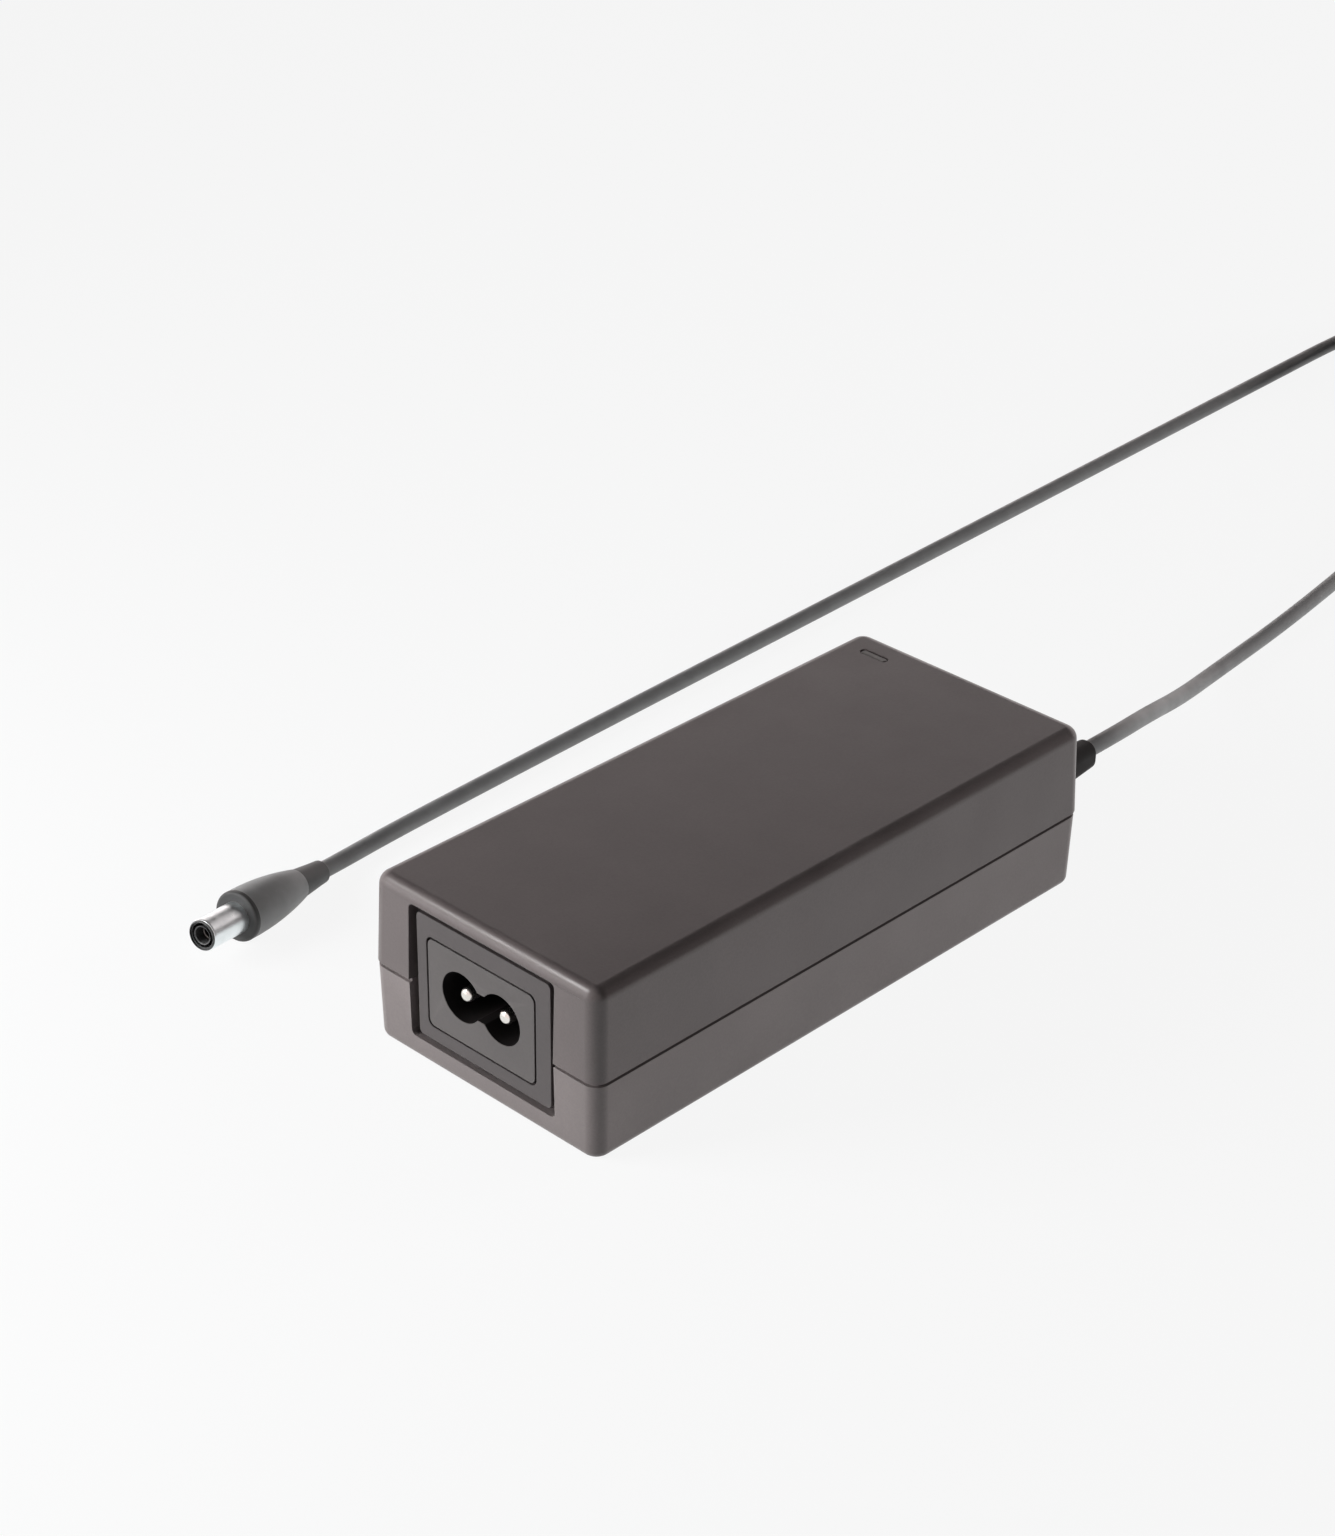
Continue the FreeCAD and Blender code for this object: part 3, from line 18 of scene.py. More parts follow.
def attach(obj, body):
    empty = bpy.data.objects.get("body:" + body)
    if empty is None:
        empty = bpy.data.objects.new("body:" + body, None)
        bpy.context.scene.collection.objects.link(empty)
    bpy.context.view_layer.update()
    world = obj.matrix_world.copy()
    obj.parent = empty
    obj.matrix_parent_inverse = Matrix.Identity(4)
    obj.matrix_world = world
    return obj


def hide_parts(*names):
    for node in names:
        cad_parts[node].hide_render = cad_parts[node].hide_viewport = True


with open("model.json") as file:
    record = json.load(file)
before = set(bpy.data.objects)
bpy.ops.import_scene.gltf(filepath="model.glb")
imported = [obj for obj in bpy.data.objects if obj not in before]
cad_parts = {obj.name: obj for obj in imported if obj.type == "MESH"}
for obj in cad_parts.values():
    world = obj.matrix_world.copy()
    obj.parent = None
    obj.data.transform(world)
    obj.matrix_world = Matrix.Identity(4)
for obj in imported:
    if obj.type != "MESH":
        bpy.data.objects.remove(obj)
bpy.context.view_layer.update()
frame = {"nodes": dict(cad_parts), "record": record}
MM = 0.001

# %% [markdown]
# ## The camera
#
# The picture was taken with a long lens from the front left, about thirty degrees above the table.
# A long lens keeps parallel edges nearly parallel, which is why the case looks so calm. The camera is
# placed by its direction and distance from a point in the middle of the case, and rolled by a
# fraction of a degree, as a tripod head that is not quite level would do.

# %% Camera
AZIMUTH = math.radians(-46.081)
ELEVATION = math.radians(29.952)
ROLL = math.radians(0.653)
DISTANCE = 0.576591
LOOKED_AT = Vector((0.015748, 0.031716, 0.016))
FOCAL_LENGTH, SENSOR_WIDTH = 79.126, 36.0


def tripod_camera():
    """A camera that looks at the case from the photographer's place."""
    back = Vector((math.sin(AZIMUTH) * math.cos(ELEVATION),
                   -math.cos(AZIMUTH) * math.cos(ELEVATION),
                   math.sin(ELEVATION)))
    level_right = (-back).cross(Vector((0, 0, 1))).normalized()
    level_up = level_right.cross(-back)
    right = level_right * math.cos(ROLL) + level_up * math.sin(ROLL)
    up = level_up * math.cos(ROLL) - level_right * math.sin(ROLL)
    place = LOOKED_AT + back * DISTANCE
    bpy.ops.object.select_all(action="DESELECT")
    bpy.ops.object.camera_add()
    camera = bpy.context.object
    camera.name = "tripod_camera"
    camera.data.lens = FOCAL_LENGTH
    camera.data.sensor_width = SENSOR_WIDTH
    camera.data.sensor_fit = "AUTO"
    camera.data.clip_start = 0.01
    camera.data.clip_end = 20.0
    turn = Matrix((right, up, back)).transposed().to_4x4()
    camera.matrix_world = Matrix.Translation(place) @ turn
    bpy.context.scene.camera = camera
    return camera


camera = tripod_camera()
bpy.context.scene.view_settings.view_transform = "Standard"
print("camera at", [round(v, 3) for v in camera.location])

# %% [markdown]
# ## The output cord
#
# The cord is one 1.2 metre length of round two-core lead, 3 mm thick. It leaves the strain relief
# straight, drops to the table in a long slope and runs off to the right. What the picture does not
# show is wound into a neat flat coil just outside the view, and the other end comes back along the
# table to the plug. A cord like this can be drawn with a Bezier curve or a mesh tube. A NURBS spline
# is chosen because its few points pull the line into smooth bends without ever making a sharp
# corner, just as a springy lead lies.

# %% Cord route
CORD_RADIUS = 1.5
ON_TABLE = CORD_RADIUS
CORD_EXIT = (75.5, -12.3, 13.4)
FROM_THE_CASE = [
    CORD_EXIT,
    (84.0, -12.3, 13.4),
    (98.0, -8.6, 10.2),
    (116.0, -3.0, 4.6),
    (134.0, 1.6, ON_TABLE),
    (162.0, 4.4, ON_TABLE),
    (204.0, 11.0, ON_TABLE),
    (242.0, 28.0, ON_TABLE),
    (270.0, 38.8, ON_TABLE),
    (289.0, 38.8, ON_TABLE),
]
PLUG_TIP = Vector((-64.4, 59.2, 5.8))
PLUG_YAW = math.radians(11.3)
PLUG_PITCH = math.radians(6.7)
PLUG_AXIS = Vector((math.cos(PLUG_YAW) * math.cos(PLUG_PITCH),
                    math.sin(PLUG_YAW) * math.cos(PLUG_PITCH),
                    -math.sin(PLUG_PITCH)))
PLUG_LENGTH = 31.4
PLUG_END = PLUG_TIP + PLUG_AXIS * PLUG_LENGTH
TO_THE_PLUG = [
    (289.0, 77.8, ON_TABLE),
    (278.0, 77.8, ON_TABLE),
    (267.0, 77.4, ON_TABLE),
    (199.0, 74.9, ON_TABLE),
    (95.0, 71.3, ON_TABLE),
    (38.0, 69.5, ON_TABLE),
    (-13.0, 67.6, ON_TABLE),
    tuple(PLUG_END + PLUG_AXIS * ((PLUG_END.z - ON_TABLE) / -PLUG_AXIS.z)),
    tuple(PLUG_END),
]
print("plug's cord end at", [round(v, 2) for v in PLUG_END])

# %% [markdown]
# The coil is five and a half turns in a ring of two layers side by side and three on top of each
# other. Each turn keeps its own place in the ring, and once per turn, on the far side, all of them
# move one place on together. That is how a hand-wound coil goes from one layer to the next. Sixteen
# points a turn keep the spline round. Places in the ring are a radius and a height.

# %% Coil of five and a half turns
COIL_MIDDLE = (305.0, 58.3)
TURNS, POINTS_A_TURN = 5.5, 16
OUTER, INNER = 19.83, 16.78
PLACES_IN_RING = [(OUTER, 1.5), (INNER, 1.5), (INNER, 4.5), (INNER, 7.5), (OUTER, 7.5),
                  (OUTER, 4.5), (OUTER, 1.5)]
WHERE_THEY_CROSS = [(18.3, 1.5), (16.2, 3.7), (16.3, 6.7), (18.5, 8.9), (20.4, 6.7), (20.3, 3.8)]
CROSSING_STARTS, CROSSING_ENDS = 25.0, 155.0


def between(first, second, share):
    """The place a share of the way from the first place to the second."""
    return [a + (b - a) * share for a, b in zip(first, second)]


def coil_points():
    """The points of the turns, from the strand that arrives to the strand that leaves."""
    points = []
    step = 360 / POINTS_A_TURN
    degrees = step / 2
    while degrees < TURNS * 360:
        turn, within = divmod(degrees, 360)
        place = int(turn)
        share = (within - CROSSING_STARTS) / (CROSSING_ENDS - CROSSING_STARTS)
        share = min(max(share, 0.0), 1.0)
        if share < 0.5:
            radius, rise = between(PLACES_IN_RING[place], WHERE_THEY_CROSS[place], share * 2)
        else:
            radius, rise = between(WHERE_THEY_CROSS[place], PLACES_IN_RING[place + 1],
                                   share * 2 - 1)
        angle = math.radians(degrees - 90)
        points.append((COIL_MIDDLE[0] + radius * math.cos(angle),
                       COIL_MIDDLE[1] + radius * math.sin(angle), rise))
        degrees += step
    return points


coil = coil_points()
print(len(coil), "points in the coil")

# %% [markdown]
# The spline is given its points first and its order afterwards, because an order set on an empty
# spline falls back to straight runs. The bevel depth turns the line into a round tube.

# %% Draw the cord
def drawn_cord(name, points):
    """A round cord along a NURBS spline through these millimetre points."""
    line = bpy.data.curves.new(name, "CURVE")
    line.dimensions = "3D"
    spline = line.splines.new("NURBS")
    spline.points.add(len(points) - 1)
    for spot, place in zip(spline.points, points):
        spot.co = (place[0] * MM, place[1] * MM, place[2] * MM, 1.0)
        spot.radius = CORD_RADIUS * MM
    spline.order_u = 3
    spline.use_endpoint_u = True
    spline.resolution_u = 8
    line.bevel_depth = 1.0
    line.bevel_resolution = 6
    line.use_fill_caps = True
    cord = bpy.data.objects.new(name, line)
    bpy.context.scene.collection.objects.link(cord)
    return cord


output_cord = drawn_cord("output_cord", FROM_THE_CASE + coil + TO_THE_PLUG)
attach(output_cord, "root")
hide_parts("cord_from_case", "cord_coil", "cord_to_plug")
print("cord drawn with", len(output_cord.data.splines[0].points), "points")

# %% [markdown]
# ## Tools for shaping
#
# The plastic pieces are made as a model maker would: start from a block of the right size, then
# round its edges and cut its openings. A few small helpers keep the cells short. Sizes are given in
# millimetres, because that is how a drawing gives them.

# %% Selecting and shaping helpers
def let_go():
    """Leaves edit mode and deselects everything."""
    if bpy.context.object and bpy.context.object.mode != "OBJECT":
        bpy.ops.object.mode_set(mode="OBJECT")
    bpy.ops.object.select_all(action="DESELECT")


def hold(piece):
    """Makes this piece the only one selected."""
    let_go()
    piece.select_set(True)
    bpy.context.view_layer.objects.active = piece


def block(name, low, high):
    """A block between two corners given in millimetres."""
    let_go()
    middle = [(a + b) / 2 * MM for a, b in zip(low, high)]
    size = [(b - a) * MM for a, b in zip(low, high)]
    bpy.ops.mesh.primitive_cube_add(size=1, location=middle, scale=size)
    piece = bpy.context.object
    piece.name = piece.data.name = name
    bpy.ops.object.transform_apply(location=True, rotation=True, scale=True)
    return piece


def rod(name, start, end, radius, sides=64):
    """A round rod along the case, from start to end in millimetres."""
    let_go()
    middle = [(a + b) / 2 * MM for a, b in zip(start, end)]
    bpy.ops.mesh.primitive_cylinder_add(vertices=sides, radius=radius * MM,
                                        depth=abs(end[0] - start[0]) * MM, location=middle,
                                        rotation=(0, math.pi / 2, 0))
    piece = bpy.context.object
    piece.name = piece.data.name = name
    bpy.ops.object.transform_apply(location=True, rotation=True, scale=True)
    return piece


def pick(piece, kind, wanted):
    """Opens the piece and selects its wanted edges or faces."""
    hold(piece)
    bpy.ops.object.mode_set(mode="EDIT")
    bpy.ops.mesh.select_mode(type=kind)
    bpy.ops.mesh.select_all(action="DESELECT")
    mesh = bmesh.from_edit_mesh(piece.data)
    parts = mesh.edges if kind == "EDGE" else mesh.faces
    picked = [part for part in parts if wanted(part)]
    for part in picked:
        part.select_set(True)
    mesh.select_flush_mode()
    bmesh.update_edit_mesh(piece.data)
    return len(picked)


def pick_edges(piece, wanted):
    """Opens the piece and selects the edges whose two ends in millimetres are wanted."""
    return pick(piece, "EDGE", lambda e: wanted(e.verts[0].co / MM, e.verts[1].co / MM))


def pick_faces(piece, wanted):
    """Opens the piece and selects the faces whose middle and normal are wanted."""
    return pick(piece, "FACE", lambda f: wanted(f.calc_center_median() / MM, f.normal))


def round_over(piece, wanted, radius, steps):
    """Rounds the wanted edges."""
    pick_edges(piece, wanted)
    bpy.ops.mesh.bevel(offset=radius * MM, offset_type="OFFSET", segments=steps, profile=0.5,
                       affect="EDGES", clamp_overlap=False)
    bpy.ops.object.mode_set(mode="OBJECT")


print("shaping helpers ready")

# %% Cutting and closing helpers
def near(value, target, within=0.02):
    """True where two millimetre values are the same."""
    return abs(value - target) < within


def upright(a, b):
    """An edge that stands up, drafted or not."""
    return abs(a.z - b.z) > 1.0 and abs(a.x - b.x) < 0.9 and abs(a.y - b.y) < 0.9


def lengthwise(a, b):
    """An edge that runs along the case."""
    return abs(a.x - b.x) > 1.0 and near(a.y, b.y) and near(a.z, b.z)


def at_height(height):
    """A test for edges that lie flat at this height."""
    return lambda a, b: near(a.z, height) and near(b.z, height)


def cut(piece, tool, way="DIFFERENCE"):
    """Cuts the tool out of the piece, or joins it on, and removes the tool."""
    hold(piece)
    change = piece.modifiers.new("cut", "BOOLEAN")
    change.operation = way
    change.solver = "EXACT"
    change.object = tool
    bpy.ops.object.modifier_apply(modifier=change.name)
    bpy.data.objects.remove(tool, do_unlink=True)


def soften(piece, width, angle=35.0, steps=2):
    """Breaks every sharp edge with a small bevel, as a mould tool's edges are broken."""
    hold(piece)
    bpy.ops.object.mode_set(mode="EDIT")
    bpy.ops.mesh.select_all(action="SELECT")
    bpy.ops.mesh.remove_doubles(threshold=0.000005)
    bpy.ops.mesh.normals_make_consistent(inside=False)
    bpy.ops.object.mode_set(mode="OBJECT")
    change = piece.modifiers.new("broken edges", "BEVEL")
    change.width = width * MM
    change.segments = steps
    change.limit_method = "ANGLE"
    change.angle_limit = math.radians(angle)
    change.harden_normals = False
    bpy.ops.object.modifier_apply(modifier=change.name)


def smooth(piece, angle=28.0):
    """Shades the rounds smoothly and keeps real edges crisp."""
    hold(piece)
    bpy.ops.object.shade_smooth_by_angle(angle=math.radians(angle))
    change = piece.modifiers.new("large faces first", "WEIGHTED_NORMAL")
    change.keep_sharp = True
    change.weight = 100
    bpy.ops.object.modifier_apply(modifier=change.name)


def settle(piece, slot, *nodes):
    """Lets the piece ride on the case and stand for its CAD nodes."""
    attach(piece, "root")
    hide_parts(*nodes)
    print(piece.name, "has", len(piece.data.polygons), "faces")


# %% [markdown]
# ## The case
#
# Each half of the case is an open box moulded in one shot. Its walls lean inwards by a degree or two
# so that it slides out of the mould. The lower half is set in by a tenth of a millimetre, and a
# groove 0.6 mm high and deep runs between the halves, which leaves a shadow line along the weld
# instead of a visible mismatch. The halves could be modelled as one box with a line drawn on it, but
# two real mouldings with a real groove between them catch the light as the object does.

# %% Sizes of the case
CASE_LENGTH, CASE_WIDTH, CASE_HEIGHT = 115.0, 50.0, 30.3
PARTING = 14.2
WALL = 2.2
UPPER_LEAN, LOWER_LEAN = math.radians(1.8), math.radians(1.2)
CORNER = 2.6
TOP_ROUND, BASE_ROUND = 2.1, 1.5
LOWER_STEP = 0.12
GROOVE_HEIGHT, GROOVE_DEPTH = 0.6, 0.6
BROKEN_EDGE = 0.14
half_long, half_wide = CASE_LENGTH / 2, CASE_WIDTH / 2
OPENING_WIDTH, OPENING_LOW, OPENING_HIGH, OPENING_CORNER = 31.4, 4.0, 28.1, 0.9
OPENING_EXTRA = 0.55
PANEL_RECESS, PANEL_GAP, TOP_GAP, INLET_GAP = 0.6, 0.95, 0.7, 0.3
panel_front = -half_long + PANEL_RECESS


def lean_in(piece, height, rise, lean, long, wide):
    """Shrinks the face at this height, so that the walls lean."""
    pick_faces(piece, lambda middle, normal: near(middle.z, height) and abs(normal.z) > 0.9)
    in_by = rise * math.tan(lean)
    bpy.ops.transform.resize(value=(1 - in_by / long, 1 - in_by / wide, 1),
                             center_override=(0, 0, height * MM))
    bpy.ops.object.mode_set(mode="OBJECT")


print("case is", CASE_LENGTH, "by", CASE_WIDTH, "by", CASE_HEIGHT, "mm")

# %% [markdown]
# The tools that cut the openings are shaped first, because both halves are cut by them: the
# rectangular opening for the inlet plate, and the hole that holds the strain relief, which is half in
# the lower moulding and half in the upper one.

# %% Tools for the openings
RELIEF_SIDE, RELIEF_HEIGHT = -12.3, 12.8
RELIEF_HALF_WIDE, RELIEF_HALF_HIGH, RELIEF_HOLE_CORNER = 3.2, 3.6, 2.2
CAVITY_CORNER = 1.2
PAST_WALL_OUT, PAST_WALL_IN = half_long + 2.5, half_long - 3.5


def opening_tool():
    """The rectangular opening in the inlet end, a little wider on its far side."""
    tool = block("opening_tool", (-PAST_WALL_OUT, -OPENING_WIDTH / 2, OPENING_LOW),
                 (-PAST_WALL_IN, OPENING_WIDTH / 2 + OPENING_EXTRA, OPENING_HIGH))
    round_over(tool, lengthwise, OPENING_CORNER, 5)
    return tool


def relief_tool():
    """The hole for the strain relief in the cord end."""
    tool = block("relief_tool",
                 (PAST_WALL_IN, RELIEF_SIDE - RELIEF_HALF_WIDE, RELIEF_HEIGHT - RELIEF_HALF_HIGH),
                 (PAST_WALL_OUT, RELIEF_SIDE + RELIEF_HALF_WIDE, RELIEF_HEIGHT + RELIEF_HALF_HIGH))
    round_over(tool, lengthwise, RELIEF_HOLE_CORNER, 8)
    return tool


def cavity_tool(low, high):
    """The room inside the case."""
    tool = block("cavity_tool", (-half_long + WALL, -half_wide + WALL, low),
                 (half_long - WALL, half_wide - WALL, high))
    round_over(tool, upright, CAVITY_CORNER, 4)
    return tool


print("opening:", OPENING_WIDTH, "mm wide, from", OPENING_LOW, "to", OPENING_HIGH, "mm up")

# %% Upper moulding
upper = block("upper_moulding", (-half_long, -half_wide, PARTING),
              (half_long, half_wide, CASE_HEIGHT))
lean_in(upper, CASE_HEIGHT, CASE_HEIGHT - PARTING, UPPER_LEAN, half_long, half_wide)
round_over(upper, upright, CORNER, 10)
round_over(upper, at_height(CASE_HEIGHT), TOP_ROUND, 8)
cut(upper, cavity_tool(PARTING - 2, CASE_HEIGHT - WALL))
cut(upper, opening_tool())
cut(upper, relief_tool())
print("upper moulding cut,", len(upper.data.polygons), "faces")

# %% [markdown]
# The little window for the indicator lamp is a slot with round ends, cut through the top near the
# cord end. A block whose four upright edges are rounded by half its width gives that shape.

# %% Slot for the indicator window
WINDOW_MIDDLE = (51.0, 16.5)
WINDOW_SIZE = (1.6, 5.8)
WINDOW_TOP = CASE_HEIGHT - 0.1
SLOT_EASE, LIGHT_PIPE_EASE = 0.04, -0.02
NEARLY_ROUND = 0.98


def window_block(name, low, high, ease):
    """A slot-shaped block under the window's place, larger all round by ease."""
    half_x = WINDOW_SIZE[0] / 2 + ease
    half_y = WINDOW_SIZE[1] / 2 + ease
    tool = block(name, (WINDOW_MIDDLE[0] - half_x, WINDOW_MIDDLE[1] - half_y, low),
                 (WINDOW_MIDDLE[0] + half_x, WINDOW_MIDDLE[1] + half_y, high))
    round_over(tool, upright, half_x * NEARLY_ROUND, 8)
    return tool


cut(upper, window_block("slot_tool", CASE_HEIGHT - 4, CASE_HEIGHT + 1, SLOT_EASE))
soften(upper, BROKEN_EDGE)
smooth(upper)
settle(upper, "case_plastic", "upper_shell")

# %% Lower moulding
lower = block("lower_moulding", (-half_long + LOWER_STEP, -half_wide + LOWER_STEP, 0),
              (half_long - LOWER_STEP, half_wide - LOWER_STEP, PARTING - GROOVE_HEIGHT))
lean_in(lower, 0, PARTING, LOWER_LEAN, half_long, half_wide)
round_over(lower, upright, CORNER, 10)
round_over(lower, at_height(0), BASE_ROUND, 8)
pick_faces(lower, lambda middle, normal: (near(middle.z, PARTING - GROOVE_HEIGHT)
                                          and normal.z > 0.9))
bpy.ops.mesh.inset(thickness=GROOVE_DEPTH * MM)
bpy.ops.mesh.extrude_region_move(TRANSFORM_OT_translate={"value": (0, 0, GROOVE_HEIGHT * MM)})
bpy.ops.object.mode_set(mode="OBJECT")
cut(lower, cavity_tool(WALL, PARTING + 2))
cut(lower, opening_tool())
cut(lower, relief_tool())
soften(lower, BROKEN_EDGE)
smooth(lower)
settle(lower, "case_plastic", "lower_shell")

# %% [markdown]
# ## The inlet end
#
# The plate in the inlet end sits a little back in its opening, with a narrow gap all round that
# reads as a dark outline. The inlet itself is a moulding of its own, pushed through the plate. Its
# socket is a figure 8: two round lobes joined by a waist, so that a mains lead can only go in one of
# two ways. The socket could be painted on as a dark shape, but the pins stand in a real hole, and the
# light falls off into it. Its inside is also painted nearly black further on, as painted shade.

# %% Inlet plate
INLET_LOW, INLET_HIGH = 7.7, 23.6
INLET_SIDE, INLET_WIDTH, INLET_CORNER = 0.55, 23.5, 1.2
FLANGE_SIDE, FLANGE_BELOW, FLANGE_THICKNESS, FLANGE_ROOM = 2.0, 0.5, 1.5, 0.2
PLATE_HOLE_CORNER, PLATE_INTO_FLANGE = 1.35, 0.5
inlet_left, inlet_right = INLET_SIDE - INLET_WIDTH / 2, INLET_SIDE + INLET_WIDTH / 2
wall_inside = -half_long + WALL
plate = block("inlet_plate",
              (panel_front, -OPENING_WIDTH / 2 + PANEL_GAP, OPENING_LOW + PANEL_GAP),
              (wall_inside + PLATE_INTO_FLANGE, OPENING_WIDTH / 2 - PANEL_GAP,
               OPENING_HIGH - TOP_GAP))
round_over(plate, lengthwise, OPENING_CORNER, 6)
cut(plate, block("plate_flange",
                 (wall_inside, -OPENING_WIDTH / 2 - FLANGE_SIDE, OPENING_LOW - FLANGE_BELOW),
                 (wall_inside + FLANGE_THICKNESS, OPENING_WIDTH / 2 + FLANGE_SIDE,
                  CASE_HEIGHT - WALL - FLANGE_ROOM)), "UNION")
plate_hole = block("plate_hole", (panel_front - 1, inlet_left - INLET_GAP, INLET_LOW - INLET_GAP),
                   (panel_front + 6, inlet_right + INLET_GAP, INLET_HIGH + INLET_GAP))
round_over(plate_hole, lengthwise, PLATE_HOLE_CORNER, 6)
cut(plate, plate_hole)
soften(plate, width=0.16)
smooth(plate)
settle(plate, "panel_plastic", "inlet_end_panel")

# %% Inlet moulding with its figure-8 socket
SOCKET_HEIGHT, PIN_OFFSET, LOBE, HALF_WAIST = 16.0, 4.3, 4.3, 2.5
INLET_DEPTH, SOCKET_DEPTH = 18.0, 12.0
inlet = block("inlet_moulding", (panel_front, inlet_left, INLET_LOW),
              (panel_front + INLET_DEPTH, inlet_right, INLET_HIGH))
round_over(inlet, lengthwise, INLET_CORNER, 6)
socket_front, socket_back = panel_front - 1, panel_front + SOCKET_DEPTH
first_pin, second_pin = INLET_SIDE - PIN_OFFSET, INLET_SIDE + PIN_OFFSET
socket = rod("socket_tool", (socket_front, first_pin, SOCKET_HEIGHT),
             (socket_back, first_pin, SOCKET_HEIGHT), LOBE)
cut(socket, rod("other_lobe", (socket_front, second_pin, SOCKET_HEIGHT),
                (socket_back, second_pin, SOCKET_HEIGHT), LOBE), "UNION")
cut(socket, block("waist", (socket_front, first_pin, SOCKET_HEIGHT - HALF_WAIST),
                  (socket_back, second_pin, SOCKET_HEIGHT + HALF_WAIST)), "UNION")
cut(inlet, socket)
soften(inlet, width=0.2, angle=40)
smooth(inlet)
settle(inlet, "inlet_plastic", "inlet_body")

# %% [markdown]
# The two pins are plated brass rods with round noses, set half a millimetre back from the inlet's
# face. The CAD model already has their exact shape, with the tails that go down to the board, so they
# are kept as they are and only need a bright plated finish later on.

# %% [markdown]
# ## The indicator window
#
# A short light pipe carries the lamp's light to the top of the case. It is a slot-shaped plug of
# cloudy plastic with a slightly domed face, pushed up from inside until it is flush. A flat patch of
# another colour would do from far away, but the dome gives it its own small glint.

# %% Indicator window
WINDOW_ROUND, DOME_INSET, DOME_RISE = 0.35, 0.15, 0.06
window = window_block("indicator_light_pipe", CASE_HEIGHT - 3.0, WINDOW_TOP, LIGHT_PIPE_EASE)
round_over(window, at_height(WINDOW_TOP), WINDOW_ROUND, 4)
pick_faces(window, lambda middle, normal: normal.z > 0.95)
bpy.ops.mesh.inset(thickness=DOME_INSET * MM)
bpy.ops.transform.translate(value=(0, 0, DOME_RISE * MM))
bpy.ops.object.mode_set(mode="OBJECT")
smooth(window, angle=50)
settle(window, "window_plastic", "indicator_window")

# %% [markdown]
# ## The strain relief
#
# Where the cord leaves the case it passes through a soft black sleeve that tapers towards its tip,
# so that the cord bends in a gentle curve and never kinks at the wall. The sleeve is a tapered block
# with well rounded edges. Its tip is hollowed a little round the cord, which leaves the thin dark
# ring that is seen there.

# %% Strain relief
RELIEF_START, RELIEF_TIP = 55.0, 75.5
RELIEF_TAPER = math.radians(3.2)
RELIEF_CORNER, RELIEF_TIP_ROUND = 2.0, 0.5
CORD_HOLE_RADIUS, CORD_HOLE_DEPTH = 1.62, 0.6
relief_in_by = (RELIEF_TIP - half_long) * math.tan(RELIEF_TAPER)
relief = block("strain_relief_sleeve",
               (half_long, RELIEF_SIDE - RELIEF_HALF_WIDE, RELIEF_HEIGHT - RELIEF_HALF_HIGH),
               (RELIEF_TIP, RELIEF_SIDE + RELIEF_HALF_WIDE, RELIEF_HEIGHT + RELIEF_HALF_HIGH))
pick_faces(relief, lambda middle, normal: normal.x > 0.9)
bpy.ops.transform.resize(value=(1, 1 - relief_in_by / RELIEF_HALF_WIDE,
                                1 - relief_in_by / RELIEF_HALF_HIGH),
                         center_override=(RELIEF_TIP * MM, RELIEF_SIDE * MM, RELIEF_HEIGHT * MM))
bpy.ops.object.mode_set(mode="OBJECT")
round_over(relief, lambda a, b: abs(a.x - b.x) > 5, RELIEF_CORNER, 8)
pick_faces(relief, lambda middle, normal: normal.x < -0.9)
into_the_case = {"value": ((RELIEF_START - half_long) * MM, 0, 0)}
bpy.ops.mesh.extrude_region_move(TRANSFORM_OT_translate=into_the_case)
bpy.ops.object.mode_set(mode="OBJECT")
round_over(relief, lambda a, b: near(a.x, RELIEF_TIP) and near(b.x, RELIEF_TIP),
           RELIEF_TIP_ROUND, 5)
cut(relief, rod("cord_hole", (RELIEF_TIP - CORD_HOLE_DEPTH, *CORD_EXIT[1:]),
                (RELIEF_TIP + 1.0, *CORD_EXIT[1:]), CORD_HOLE_RADIUS, sides=48))
soften(relief, width=0.1, angle=50)
smooth(relief, angle=40)
settle(relief, "rubber_black", "strain_relief")

# %% [markdown]
# ## The barrel plug
#
# The plug is turned work and moulded work about one axis: a bright tube, a black ring inside it, a
# spring contact down its middle, and a soft grey sleeve moulded over its back end and over the cord.
# Every part is round, so each is made by drawing half of its section and spinning it once round the
# axis. The section is drawn point by point, as on a lathe drawing, by pushing one point along.

# %% Spinning helper
PLUG_FRAME = (Matrix.Translation(PLUG_TIP * MM) @ Matrix.Rotation(PLUG_YAW, 4, "Z")
              @ Matrix.Rotation(PLUG_PITCH, 4, "Y"))
SPIN_STEPS = 64


